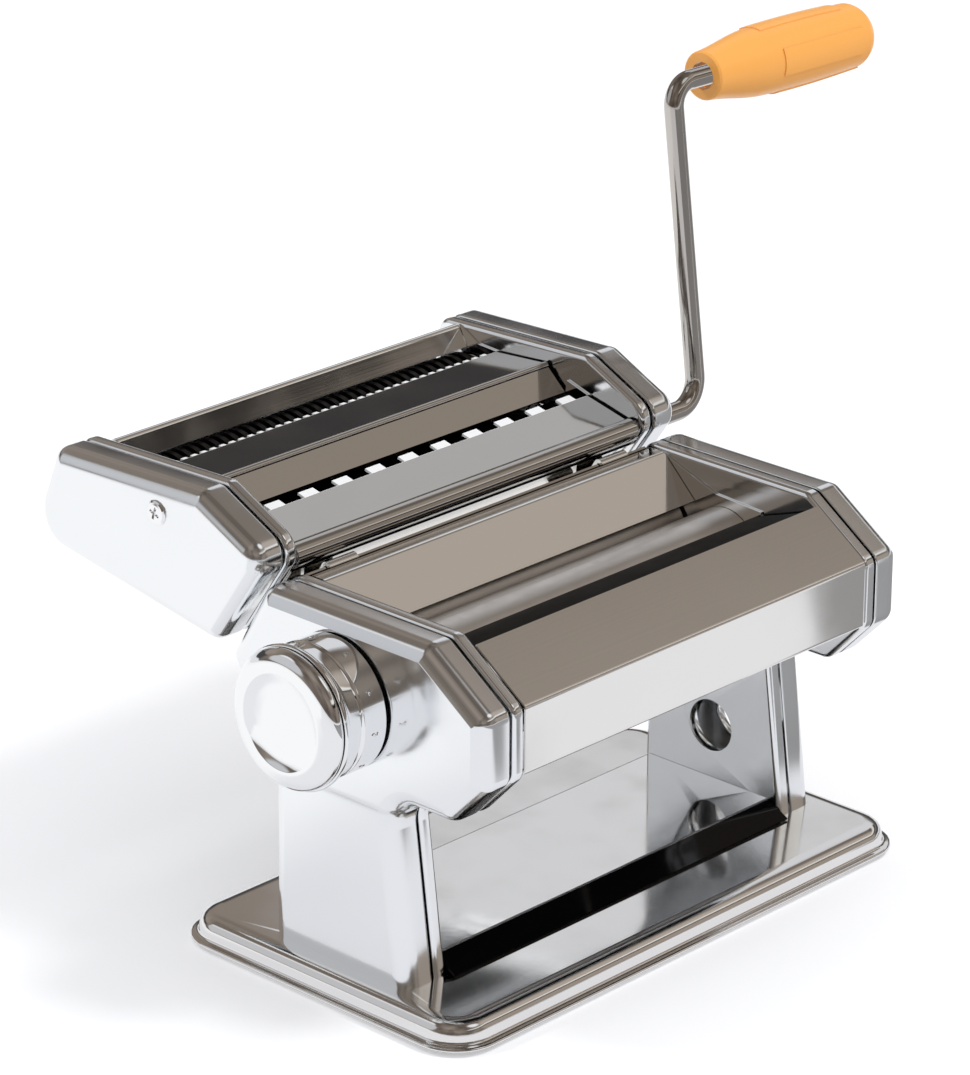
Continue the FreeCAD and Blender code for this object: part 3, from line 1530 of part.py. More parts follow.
def cutter_rollers_and_combs():
    fine = (cells.fine_pitch, cells.fine_ring, fine_rings)
    wide = (cells.wide_pitch, cells.wide_ring, wide_rings)
    fine_first = -(cells.fine_pitch * fine_rings - cells.fine_pitch / 2) / 2
    wide_first = -cells.wide_pitch * (wide_rings - 1) / 2
    wide_between = (cells.wide_pitch, cells.wide_ring, wide_rings - 1)
    fine_mate = fine_first + cells.fine_pitch / 2
    wide_mate = wide_first + cells.wide_pitch / 2
    z_fine, z_wide = cells.fine_height, cells.wide_height
    cutter_roller("fine_cutter_front", cells.fine_depth, z_fine, fine_first, *fine, True)
    cutter_roller("fine_cutter_rear", fine_rear_depth, z_fine, fine_mate, *fine, False)
    cutter_roller("wide_cutter_front", cells.wide_depth, z_wide, wide_first, *wide, True)
    cutter_roller("wide_cutter_rear", wide_rear_depth, z_wide, wide_mate, *wide_between, False)
    fine_gap = cells.fine_pitch - cells.fine_ring
    wide_gap = cells.wide_pitch - cells.wide_ring
    fewer = fine_rings - 1
    less = wide_rings - 1
    keep("fine_combs", group("fine_combs", [
        comb("fine_comb", cells.fine_depth, z_fine, fine_mate, cells.fine_pitch, fine_gap,
             fewer, 1),
        comb("fine_comb", fine_rear_depth, z_fine, fine_first + cells.fine_pitch,
             cells.fine_pitch, fine_gap, fewer, -1)]))
    keep("wide_combs", group("wide_combs", [
        comb("wide_comb", cells.wide_depth, z_wide, wide_mate, cells.wide_pitch, wide_gap,
             less, 1),
        comb("wide_comb", wide_rear_depth, z_wide, wide_first + cells.wide_pitch,
             cells.wide_pitch, wide_gap, less - 1, -1)]))


def cutter_panels():
    low = (cells.cutter_front_low, cells.cutter_front_low_height)
    nose = (cells.cutter_nose, cells.cutter_nose_height)
    keep("cutter_front_panel", bent_sheet(
        "cutter_front_panel", -inside, inside,
        [along(low, nose, cells.cutter_panel_low), along(low, nose, cells.cutter_panel_high)],
        -1, cells.sheet_wall))
    keep("cutter_rear_panel", bent_sheet(
        "cutter_rear_panel", -half_roller, half_roller,
        [(cells.rear_lip_low, cells.rear_lip_low_height),
         (cells.rear_lip_top, cells.rear_lip_top_height),
         (cells.rear_panel_top, cells.rear_panel_top_height),
         (cells.rear_panel_low, cells.rear_panel_low_height)], -1,
        cells.sheet_wall, cells.panel_bend))


def edge_teeth(body, edge, behind, length, first, width, pitch, count):
    """Tongues along a sheet's rear edge, in the plane of the run that comes from behind it."""
    sketch = new_sketch(body, "YZ_Plane", first - width / 2)
    draw_bent_sheet(sketch, [edge, along(edge, behind, -length)], cells.sheet_wall, -1)
    tooth = pad(body, sketch, width)
    repeat_along_x(body, tooth, pitch, count)


def cutter_divider():
    """The sheet between the two feed slots, with a bead along its ridge and a toothed edge."""
    ridge = (cells.divider_ridge, cells.divider_ridge_height)
    rear = (cells.divider_rear, cells.divider_rear_height)
    body = bent_sheet("cutter_divider", -half_roller, half_roller,
                      [(cells.divider_low, cells.divider_low_height), ridge, rear], -1,
                      cells.sheet_wall, cells.panel_bend)
    sketch = new_sketch(body, "YZ_Plane", -half_roller)
    draw_circle(sketch, ridge[0], ridge[1] - cells.divider_bead_sink, cells.divider_bead)
    pad(body, sketch, cells.roller_length)
    first = -cells.fine_pitch * (fine_rings - 1) / 2
    edge_teeth(body, rear, ridge, cells.divider_tooth_length, first, cells.divider_tooth_width,
               cells.fine_pitch, fine_rings)
    keep("cutter_divider", body)


def front_guard():
    """The front guard: its front edge is rolled round a tie rod, and its rear edge is toothed."""
    rear = (cells.guard_rear, cells.guard_rear_height)
    front = (cells.guard_front, cells.guard_front_height)
    sheet_body = bent_sheet("guard_sheet", -half_roller, half_roller,
                            [rear, along(front, rear, -cells.guard_lap)], 1, cells.sheet_wall)
    edge_teeth(sheet_body, rear, front, cells.guard_tooth_length, cells.guard_tooth_first,
               cells.guard_tooth_width, cells.wide_pitch, wide_rings)
    outer = cylinder("guard_roll", -half_roller, cells.roller_length, cells.bar_depth,
                     cells.bar_height, cells.bar_radius)
    bore = cylinder("guard_bore", -half_roller, cells.roller_length, cells.bar_depth,
                    cells.bar_height, cells.tie_rod_radius + cells.running_clearance)
    return keep("cutter_front_guard",
                cut("cutter_front_guard", fuse("guard_blank", [sheet_body, outer]), bore))


def feed_guides():
    """Flat side guides that keep the dough off the bushes of the cutter rollers."""
    inset, hang = cells.feed_guide_inset, cells.feed_guide_hang
    fine = [(cells.rear_lip_top - inset, cells.rear_lip_top_height - inset),
            (cells.divider_rear + cells.feed_guide_reach, cells.divider_rear_height + inset),
            (cells.divider_rear, cells.divider_rear_height),
            (cells.divider_rear, cells.divider_rear_height - hang),
            (cells.rear_lip_low, cells.divider_rear_height - hang)]
    wide = [(cells.divider_low - inset, cells.divider_low_height + cells.feed_guide_rise),
            (cells.guard_rear, cells.guard_rear_height),
            (cells.guard_rear, cells.guard_rear_height - hang),
            (cells.divider_low, cells.guard_rear_height - hang)]
    start = inside - cells.guide_wall
    guides = []
    for corners in (fine, wide):
        guides.append(flat_plate("feed_guide", start, inside, corners))
        guides.append(flat_plate("feed_guide", -inside, -start, corners))
    return keep("feed_guides", group("feed_guides", guides))


def cutter_face_gap(drop):
    """How far the cutter's front face stands from the body's rear slope, at a drop below it."""
    run_depth, run_height = cells.back_depth - cells.crown_depth, cells.back_height - cells.top_height
    length = root(run_depth * run_depth + run_height * run_height)

    def seen_from_slope(depth, height):
        depth, height = depth - cells.crown_depth, height - cells.top_height
        out = (height * run_depth - depth * run_height) / length
        down = (depth * run_depth + height * run_height) / length
        return out, down

    low_out, low_down = seen_from_slope(cells.cutter_front_low, cells.cutter_front_low_height)
    nose_out, nose_down = seen_from_slope(cells.cutter_nose, cells.cutter_nose_height)
    return nose_out + (low_out - nose_out) * (drop - nose_down) / (low_down - nose_down)


def mounting_hooks():
    """Two strips on the cutter's front panel that hook over the top edge of the back panel.

    They are drawn square to the body's rear slope: across is the distance out from the
    slope, and down the distance along it from its top corner.
    """
    edge = cells.back_panel_edge - cells.hook_clearance
    behind = -(cells.sheet_wall + cells.hook_clearance)
    neck_end = edge + cells.hook_neck
    leg_start, leg_end = neck_end + cells.hook_step, edge + cells.hook_leg
    seat = cells.hook_wall + cells.side_clearance
    corners = [(behind, edge + cells.hook_reach), (behind, edge), (cells.hook_clearance, edge),
               (cells.hook_clearance, neck_end), (cutter_face_gap(leg_start) - seat, leg_start),
               (cutter_face_gap(leg_end) - seat, leg_end), (cells.hook_clearance, leg_end)]
    strips = []
    for side in (-1, 1):
        left = cells.hook_offset * side - cells.hook_width / 2
        strips.append(bent_sheet("hook", left, left + cells.hook_width,
                                 [(across, -down) for across, down in corners], 1,
                                 cells.hook_wall, cells.hook_bend))
    hooks = group("mounting_hooks", strips)
    place(hooks, 0.0, *crown)
    slope = (cells.back_depth - cells.crown_depth) / (cells.top_height - cells.back_height)
    angle = Size(math.degrees(math.atan(slope.value)), "atan(%s)" % slope.formula)
    tilt(hooks, V(1, 0, 0), angle)
    return keep("mounting_hooks", hooks)


# Crank: a bent rod that plugs into a socket, with a grip that turns on its pin

def crank_frame(thing):
    """Stands a piece drawn in the X-Z plane on the crank's axis, leaning to the rear."""
    place(thing, 0.0, cells.wide_depth, cells.wide_height)
    tilt(thing, V(1, 0, 0), -cells.crank_lean_angle)


def crank_rod():
    """The rod's middle line: along X, up the arm, and out along the pin, with round bends."""
    radius = cells.crank_radius.value
    start = (cover_face + cells.socket_reach - cells.crank_insert).value
    corner = V(cells.crank_reach.value, 0, 0)
    upper = V(cells.crank_reach.value, 0, cells.crank_arm.value)
    tilt_angle = math.radians(cells.crank_pin_tilt_angle.value)
    pin = V(math.cos(tilt_angle), 0, -math.sin(tilt_angle))
    grip_floor = cells.grip_start + cells.grip_length - cells.grip_bore_end
    end = upper + pin * (grip_floor - cells.crank_pin_room).value
    low, high = cells.crank_low_bend.value, cells.crank_high_bend.value
    edges = [Part.LineSegment(V(start, 0, 0), corner - V(low, 0, 0)).toShape()]
    edges.append(bend(corner - V(low, 0, 0), corner, corner + V(0, 0, low)))
    edges.append(Part.LineSegment(corner + V(0, 0, low), upper - V(0, 0, high)).toShape())
    edges.append(bend(upper - V(0, 0, high), upper, upper + pin * high))
    edges.append(Part.LineSegment(upper + pin * high, end).toShape())
    path = Part.Wire(edges)
    section = Part.Wire([Part.Circle(V(start, 0, 0), V(1, 0, 0), radius).toShape()])
    feature = doc.addObject("Part::Feature", "crank_rod")
    feature.Shape = path.makePipeShell([section], True, False)
    crank_frame(feature)
    return keep("crank_rod", feature)


def bend(start, corner, end):
    """The arc that leaves one straight run at start and joins the next at end."""
    into = (corner - start).normalize()
    out = (end - corner).normalize()
    side = (out - into * into.dot(out)).normalize()
    reach = (corner - start).Length
    half_turn = math.acos(max(-1.0, min(1.0, into.dot(out)))) / 2
    radius = reach / math.tan(half_turn)
    centre = start + side * radius
    middle = centre + (corner - centre).normalize() * radius
    return Part.Arc(start, middle, end).toShape()


def grip():
    """The grip: a slim neck, a full belly and a raised pad on each of four sides."""
    blank = grip_blank(0.0)
    raised = grip_blank(cells.grip_pad_rise.value)
    width, run = cells.grip_pad_width.value, cells.grip_pad_length.value
    first, step = cells.grip_pad_start.value, cells.grip_pad_step.value
    reach = cells.grip_belly_radius.value * 2
    upper_pad = Part.makeBox(run, width, reach, V(first, -width / 2, 0))
    lower_pad = Part.makeBox(run, width, reach, V(first + step * 2, -width / 2, -reach))
    side_pads = Part.makeBox(run, reach * 2, width, V(first + step, -reach, -width / 2))
    boxes = upper_pad.fuse([lower_pad, side_pads])
    along_x = V(1, 0, 0)
    bore = Part.makeCylinder(cells.crank_radius.value + cells.running_clearance.value,
                             (cells.grip_length - cells.grip_bore_end).value, V(0, 0, 0), along_x)
    mouth = Part.makeCylinder(cells.grip_counterbore_radius.value,
                              cells.grip_counterbore_depth.value, V(0, 0, 0), along_x)
    solid = blank.fuse(raised.common(boxes)).cut([bore, mouth]).removeSplitter()
    solid.translate(V(cells.grip_start.value, 0, 0))
    solid.rotate(V(0, 0, 0), V(0, 1, 0), cells.crank_pin_tilt_angle.value)
    solid.translate(V(cells.crank_reach.value, 0, cells.crank_arm.value))
    feature = doc.addObject("Part::Feature", "grip")
    feature.Shape = Part.makeCompound([solid])
    crank_frame(feature)
    return keep("grip", feature)


def grip_blank(extra):
    """The turned shape of the grip, larger all round by extra."""
    length = cells.grip_length.value
    bevel = cells.grip_mouth_bevel.value
    mouth = cells.grip_mouth_radius.value + extra
    belly = cells.grip_belly_radius.value + extra
    belly_start = cells.grip_belly_place.value
    tail = cells.grip_tail_radius.value + extra
    tail_place = length - cells.grip_nose_length.value
    nose = cells.grip_nose_radius.value + extra
    side = Part.BSplineCurve()
    side.interpolate([V(bevel, 0, mouth),
                      V(cells.grip_neck_place.value, 0, cells.grip_neck_radius.value + extra),
                      V(cells.grip_shoulder_place.value, 0, cells.grip_shoulder_radius.value + extra),
                      V(belly_start, 0, belly),
                      V((belly_start + tail_place) / 2, 0, belly),
                      V(tail_place, 0, tail)])
    bow = V((tail_place + length) / 2, 0, (tail + nose) / 2)
    bow += V(tail - nose, 0, length - tail_place).normalize() * bevel
    edges = [Part.LineSegment(V(0, 0, 0), V(0, 0, mouth - bevel)).toShape(),
             Part.LineSegment(V(0, 0, mouth - bevel), V(bevel, 0, mouth)).toShape(),
             side.toShape(),
             Part.Arc(V(tail_place, 0, tail), bow, V(length, 0, nose)).toShape(),
             Part.LineSegment(V(length, 0, nose), V(length, 0, 0)).toShape(),
             Part.LineSegment(V(length, 0, 0), V(0, 0, 0)).toShape()]
    face = Part.Face(Part.Wire(edges))
    return face.revolve(V(0, 0, 0), V(1, 0, 0), 360.0)


# Build every piece

base_plate()
base_screws()
rubber_feet()
foot_tray()
side_plates()
side_covers()
tie_rod_set("tie_rods", rod_places, cells.tie_rod_radius)
tie_rod_nuts("tie_rod_nuts", rod_places)
body_panels()
hopper_guides()
scraper("front_scraper", front_roller_depth, 1, rod_places[0])
scraper("rear_scraper", cells.rear_roller_depth, -1, rod_places[1])

gear_end = cells.gear_start + cells.gear_width
pitch_radius = cells.rollers_apart_closed / 2
roller("front_roller", front_roller_depth)
roller_shaft("front_roller_shaft", front_roller_depth, gear_end, False)
roller("rear_roller", cells.rear_roller_depth)
roller_shaft("rear_roller_shaft", cells.rear_roller_depth, cover_face + cells.socket_reach, True)
gear("front_gear", front_roller_depth, cells.roller_height, pitch_radius,
     cells.body_gear_teeth, cells.body_gear_addendum, cells.shaft_radius, 0.0)
gear("rear_gear", cells.rear_roller_depth, cells.roller_height, pitch_radius,
     cells.body_gear_teeth, cells.body_gear_addendum, cells.shaft_radius, 0.5)
body_bushes()
bearing_blocks()

scroll_cam()
dial_shaft()
keep("dial_bush", cover_bush("dial_bush", -1, cells.dial_shaft_radius, cells.dial_depth,
                             cells.roller_height))
index_plate()
knob()
knob_spring()

cutter_sides()
cutter_screws()
cutter_bushes()
cutter_rollers_and_combs()
cutter_pitch_radius = cells.cutter_axes_apart / 2
for name, (depth, height), phase in zip(
        ("fine_front_gear", "fine_rear_gear", "wide_front_gear", "wide_rear_gear"),
        cutter_axes, (0.0, 0.5, 0.0, 0.5)):
    gear(name, depth, height, cutter_pitch_radius, cells.cutter_gear_teeth,
         cells.cutter_gear_addendum, cells.cutter_shaft_radius, phase)
cutter_panels()
cutter_divider()
front_guard()
feed_guides()
tie_rod_set("cutter_tie_rods", cutter_rods, cells.tie_rod_radius)
tie_rod_nuts("cutter_rod_nuts", cutter_rods[1:])
mounting_hooks()
crank_rod()
grip()


# Check the whole document, then write one file for each piece

doc.recompute()
for thing in doc.Objects:
    if "Invalid" in thing.State or "Error" in thing.State:
        raise RuntimeError("%s (%s) failed: %s" % (thing.Label, thing.Name, thing.State))
for name, thing in parts.items():
    if thing.Shape.isNull() or not thing.Shape.isValid() or not thing.Shape.Solids:
        raise RuntimeError("%s has no valid shape" % name)
for name, thing in parts.items():
    thing.Shape.exportStep("parts/%s.step" % name)
print("%d pieces, %d solids" % (len(parts), sum(len(t.Shape.Solids) for t in parts.values())))
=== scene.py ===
import math

import bmesh
import bpy
from mathutils import Matrix, Vector
from mathutils.geometry import tessellate_polygon


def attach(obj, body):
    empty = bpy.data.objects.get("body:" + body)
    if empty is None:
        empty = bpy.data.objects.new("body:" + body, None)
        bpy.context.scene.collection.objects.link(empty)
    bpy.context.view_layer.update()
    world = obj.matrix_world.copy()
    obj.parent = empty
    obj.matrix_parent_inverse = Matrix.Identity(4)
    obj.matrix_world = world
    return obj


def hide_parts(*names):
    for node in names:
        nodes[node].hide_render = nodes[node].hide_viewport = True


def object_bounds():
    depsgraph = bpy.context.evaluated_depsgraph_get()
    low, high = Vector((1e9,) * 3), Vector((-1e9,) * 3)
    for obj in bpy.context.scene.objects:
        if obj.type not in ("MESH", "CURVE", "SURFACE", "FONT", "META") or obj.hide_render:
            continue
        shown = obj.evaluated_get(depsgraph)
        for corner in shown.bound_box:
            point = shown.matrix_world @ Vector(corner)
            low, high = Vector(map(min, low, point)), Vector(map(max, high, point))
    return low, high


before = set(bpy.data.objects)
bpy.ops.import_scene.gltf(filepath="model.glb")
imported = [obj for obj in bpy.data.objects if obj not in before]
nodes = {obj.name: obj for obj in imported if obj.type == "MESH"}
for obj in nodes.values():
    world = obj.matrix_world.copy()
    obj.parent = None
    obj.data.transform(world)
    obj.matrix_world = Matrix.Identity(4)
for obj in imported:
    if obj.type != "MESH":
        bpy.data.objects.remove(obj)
cad_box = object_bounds()


# The base plate is one sheet of bright stainless steel, pressed down at its rim.
# Rolling and polishing leave faint straight lines along the sheet and a slight waviness,
# and the whole machine is folded and pressed from the same stock.

MM = 0.001
# A sheet's inner side, dull and painted dark as painted shade, and the cosine past which a face
# counts as that side
SHADED_SIDE, SHADED_SIDE_ROUGHNESS, FACES_AWAY = "#2a2826", 0.5, 0.45
# The sheared tongues are satin, and their near white colour is painted highlight.
TOOTH_HIGHLIGHT, TOOTH_HIGHLIGHT_ROUGHNESS, TOOTH_HIGHLIGHT_METALLIC = "#f6f6f6", 0.42, 0.2


def linear(colour):
    """An sRGB hex colour as the linear values that Blender's sockets take."""
    parts = [int(colour[i:i + 2], 16) / 255 for i in (1, 3, 5)]
    return [p / 12.92 if p <= 0.04045 else ((p + 0.055) / 1.055) ** 2.4 for p in parts] + [1.0]


def add_node(tree, kind, settings=None, **inputs):
    """Adds a node: settings are its properties, and each input is a value or another socket."""
    node = tree.nodes.new(kind)
    for name, value in (settings or {}).items():
        setattr(node, name, value)
    for name, value in inputs.items():
        name = name.replace("_", " ")
        socket = node.inputs[int(name[5:])] if name.startswith("input") else node.inputs[name]
        if isinstance(value, bpy.types.NodeSocket):
            tree.links.new(value, socket)
        else:
            socket.default_value = value
    return node


def new_material(name):
    """An empty material with its output, its surface shader and the piece's own coordinates."""
    material = bpy.data.materials.new(name)
    material.use_nodes = True
    tree = material.node_tree
    tree.nodes.clear()
    shader = add_node(tree, "ShaderNodeBsdfPrincipled")
    output = add_node(tree, "ShaderNodeOutputMaterial")
    tree.links.new(shader.outputs["BSDF"], output.inputs["Surface"])
    place = add_node(tree, "ShaderNodeTexCoord").outputs["Object"]
    return material, tree, shader, place


def bright_sheet(name, colour, roughness, line_spacing, line_depth, painted_shade_side=None,
                 sheared_from=None):
    """Bright rolled sheet: lines along X, a slight waviness and a few dull smudges.

    painted_shade_side is the way the sheet's inner side faces, which is dull and painted dark as
    painted shade.
    sheared_from is the depth past which the edge is cut into satin tongues."""
    material, tree, shader, place = new_material(name)
    # Real rolling lines are finer than line_spacing, and are drawn that coarse to show.
    along_x = add_node(tree, "ShaderNodeMapping", Vector=place,
                       Scale=(8.0, 1 / line_spacing, 1 / line_spacing))
    lines = add_node(tree, "ShaderNodeTexNoise", Vector=along_x.outputs[0],
                     Scale=1.0, Detail=3.0)
    # Waves about 45 mm long, and smudges the size of a fingertip
    waves = add_node(tree, "ShaderNodeTexNoise", Vector=place, Scale=22.0, Detail=1.0)
    smudges = add_node(tree, "ShaderNodeTexNoise", Vector=place, Scale=38.0, Detail=4.0)
    dull = add_node(tree, "ShaderNodeMapRange", Value=smudges.outputs["Fac"],
                    From_Min=0.4, From_Max=0.75, To_Min=roughness,
                    To_Max=roughness * 1.8).outputs[0]
    shader.inputs["Base Color"].default_value = linear(colour)
    shader.inputs["Metallic"].default_value = 1.0
    # Faces turned that way are made dull and painted dark: painted shade inside the machine.
    if painted_shade_side:
        facing = add_node(tree, "ShaderNodeNewGeometry").outputs["True Normal"]
        away = add_node(tree, "ShaderNodeVectorMath", {"operation": "DOT_PRODUCT"},
                        input0=facing, input1=painted_shade_side)
        painted_shade = add_node(tree, "ShaderNodeMath", {"operation": "GREATER_THAN"},
                          input0=away.outputs["Value"], input1=FACES_AWAY).outputs[0]
        tint = add_node(tree, "ShaderNodeMix", {"data_type": "RGBA"}, Factor=painted_shade,
                        input6=linear(colour), input7=linear(SHADED_SIDE))
        dull = add_node(tree, "ShaderNodeMix", Factor=painted_shade, input2=dull,
                        input3=SHADED_SIDE_ROUGHNESS).outputs[0]
        # Past that depth the tongues turn satin and are painted near white, as painted highlight.
        if sheared_from:
            depth = add_node(tree, "ShaderNodeSeparateXYZ", Vector=place).outputs["Y"]
            tongue = add_node(tree, "ShaderNodeMath", {"operation": "GREATER_THAN"},
                              input0=depth, input1=sheared_from).outputs[0]
            tint = add_node(tree, "ShaderNodeMix", {"data_type": "RGBA"}, Factor=tongue,
                            input6=tint.outputs[2], input7=linear(TOOTH_HIGHLIGHT))
            dull = add_node(tree, "ShaderNodeMix", Factor=tongue, input2=dull,
                            input3=TOOTH_HIGHLIGHT_ROUGHNESS).outputs[0]
            metal = add_node(tree, "ShaderNodeMapRange", Value=tongue, To_Min=1.0,
                             To_Max=TOOTH_HIGHLIGHT_METALLIC)
            tree.links.new(metal.outputs[0], shader.inputs["Metallic"])
        tree.links.new(tint.outputs[2], shader.inputs["Base Color"])
    tree.links.new(dull, shader.inputs["Roughness"])
    wave_bump = add_node(tree, "ShaderNodeBump", Height=waves.outputs["Fac"],
                         Strength=1.0, Distance=0.00006)
    line_bump = add_node(tree, "ShaderNodeBump", Height=lines.outputs["Fac"],
                         Strength=1.0, Distance=line_depth, Normal=wave_bump.outputs[0])
    tree.links.new(line_bump.outputs[0], shader.inputs["Normal"])
    return material


polished_sheet = bright_sheet("mirror polished stainless sheet", "#eeedec", 0.085,
                              0.0011, 0.000002)


def inset_outline(corners, inset, steps=8):
    """Points along an outline of (depth, height, corner radius), moved inwards by inset.

    A corner without a radius is a foot, which stays at its height on the base."""
    count = len(corners)
    area = sum(a[0] * b[1] - b[0] * a[1] for a, b in zip(corners, corners[1:] + corners[:1]))
    inward = 1.0 if area > 0 else -1.0
    points = []
    for i, (depth, height, radius) in enumerate(corners):
        here = Vector((depth, height))
        arrive = (here - Vector(corners[i - 1][:2])).normalized()
        leave = (Vector(corners[(i + 1) % count][:2]) - here).normalized()
        if radius is None:
            run = leave if i == 0 else arrive
            side = Vector((-run.y, run.x)) * inward
            points.append((depth + side.x * inset - run.x * side.y * inset / run.y, height))
            continue
        first, second = (Vector((-run.y, run.x)) * inward for run in (arrive, leave))
        convex = arrive.cross(leave) * inward > 0
        reach = (first + second) * radius / (1 + first.dot(second))
        centre = here + reach if convex else here - reach
        swing = -max(radius - inset, 0.05) if convex else radius + inset
        turn = first.angle_signed(second)
        for step in range(steps + 1):
            normal = first.copy()
            normal.rotate(Matrix.Rotation(-turn * step / steps, 2))
            points.append(tuple(centre + normal * swing))
    return points


def circle(depth, height, radius, steps=32):
    """A round hole as points (depth, height)."""
    turns = [2 * math.pi * i / steps for i in range(steps)]
    return [(depth + radius * math.cos(t), height + radius * math.sin(t)) for t in turns]


def vertices(build, points):
    """Vertices of a mesh being built, at points in millimetres."""
    return [build.verts.new((x * MM, y * MM, z * MM)) for x, y, z in points]


def bridge(build, near, far, closed=True):
    """Faces between two rows of vertices, which may share a pole."""
    count = len(near)
    for i in range(count if closed else count - 1):
        j = (i + 1) % count
        corners = list(dict.fromkeys((near[i], near[j], far[j], far[i])))
        if len(corners) > 2:
            build.faces.new(corners)


def fill(build, loops):
    """Triangles over the flat face inside the first loop, with the other loops as its holes."""
    corners = [vertex for loop in loops for vertex in loop]
    for triangle in tessellate_polygon([[v.co for v in loop] for loop in loops]):
        build.faces.new([corners[i] for i in triangle])


SOFT_NORMALS = ("WEIGHTED_NORMAL", {"keep_sharp": True})


def finished(name, build, modifiers=()):
    """A bmesh made an object at the origin, with its modifiers applied and softly shaded."""
    mesh = bpy.data.meshes.new(name)
    build.to_mesh(mesh)
    build.free()
    piece = bpy.data.objects.new(name, mesh)
    bpy.context.scene.collection.objects.link(piece)
    for kind, settings in modifiers:
        modifier = piece.modifiers.new(kind.lower(), kind)
        for key, value in settings.items():
            setattr(modifier, key, value)
    for polygon in mesh.polygons:
        polygon.use_smooth = True
    evaluated = piece.evaluated_get(bpy.context.evaluated_depsgraph_get())
    piece.data = bpy.data.meshes.new_from_object(evaluated)
    piece.modifiers.clear()
    piece.data.name = name
    return piece


def sheet_metal(name, build, outwards, wall):
    """Gives a pressed surface its wall, inwards from where its largest face looks."""
    bmesh.ops.recalc_face_normals(build, faces=build.faces[:])
    largest = max(build.faces, key=lambda face: face.calc_area())
    if largest.normal.dot(Vector(outwards)) < 0:
        bmesh.ops.reverse_faces(build, faces=build.faces[:])
    return finished(name, build, [("SOLIDIFY", {"thickness": wall * MM, "offset": -1.0}),
                                  SOFT_NORMALS])


HALF_WIDTH, HALF_DEPTH, CORNER_RADIUS, BASE_TOP, BASE_WALL = 103.5, 60.5, 15.0, 9.3, 0.8
SCREW_SIDE, SCREW_END, SCREW_HOLE = 87.5, 18.0, 1.55
# The rim's profile from the outside in: (inset, height)
rim_profile = [(0.0, 1.6), (0.0, 2.1), (0.12, 2.4), (0.4, 2.6), (0.9, 2.7), (1.6, 2.78),
               (2.1, 3.0), (2.35, 3.4), (2.5, 4.0), (2.65, 5.0), (2.85, 6.0), (3.2, 6.95),
               (3.8, 7.8), (4.7, 8.5), (5.8, 8.95), (7.1, 9.2), (8.6, BASE_TOP)]
base_corners = [(HALF_WIDTH * side, HALF_DEPTH * end, CORNER_RADIUS)
                for side, end in ((-1, -1), (1, -1), (1, 1), (-1, 1))]
build = bmesh.new()
rings = [vertices(build, [(x, y, height) for x, y in inset_outline(base_corners, inset)])
         for inset, height in rim_profile]
for low, high in zip(rings, rings[1:]):
    bridge(build, low, high)
fill(build, [rings[-1]] + [
    vertices(build, [(x, y, BASE_TOP) for x, y in
                     circle(SCREW_SIDE * side, SCREW_END * end, SCREW_HOLE, 16)])
    for side in (-1, 1) for end in (-1, 1)])
base_sheet = sheet_metal("base_sheet", build, (0, 0, 1), BASE_WALL)
base_sheet.data.materials.append(polished_sheet)
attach(base_sheet, "frame")
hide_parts("base_plate")


# Between the legs stands a tray, folded from a strip of the same sheet and set on the base.
# Its sloping toe is painted black as a painted dark reflection, and reads as a dark band along the
# front.

def dress(names, material):
    """Gives CAD nodes their finish."""
    for name in names.split():
        nodes[name].material_slots[0].material = material


TOE_DEPTH = -0.0250
tray_sheet, tree, shader, place = new_material("stainless strip with a painted dark reflection on its toe")
depth = add_node(tree, "ShaderNodeSeparateXYZ", Vector=place).outputs["Y"]
# Past TOE_DEPTH the strip is black and not metal: a painted dark reflection.
toe = add_node(tree, "ShaderNodeMath", {"operation": "LESS_THAN"}, input0=depth,
               input1=TOE_DEPTH)
tint = add_node(tree, "ShaderNodeMix", {"data_type": "RGBA"}, Factor=toe.outputs[0],
                input6=linear("#eeedec"), input7=linear("#050506"))
tree.links.new(tint.outputs[2], shader.inputs["Base Color"])
metal = add_node(tree, "ShaderNodeMath", {"operation": "SUBTRACT"}, input0=1.0,
                 input1=toe.outputs[0])
tree.links.new(metal.outputs[0], shader.inputs["Metallic"])
specks = add_node(tree, "ShaderNodeTexNoise", Vector=place, Scale=60.0, Detail=3.0)
dull = add_node(tree, "ShaderNodeMapRange", Value=specks.outputs["Fac"],
                From_Min=0.4, From_Max=0.75, To_Min=0.05, To_Max=0.12)
tree.links.new(dull.outputs[0], shader.inputs["Roughness"])
bump = add_node(tree, "ShaderNodeBump", Height=specks.outputs["Fac"], Strength=1.0,
                Distance=0.00003)
tree.links.new(bump.outputs[0], shader.inputs["Normal"])
shader.inputs["Specular IOR Level"].default_value = 0.3
dress("foot_tray", tray_sheet)


# The four feet are moulded rubber, pushed up under the base plate.
# Rubber is near black, dull and slightly dusty, with the fine grain of its mould.

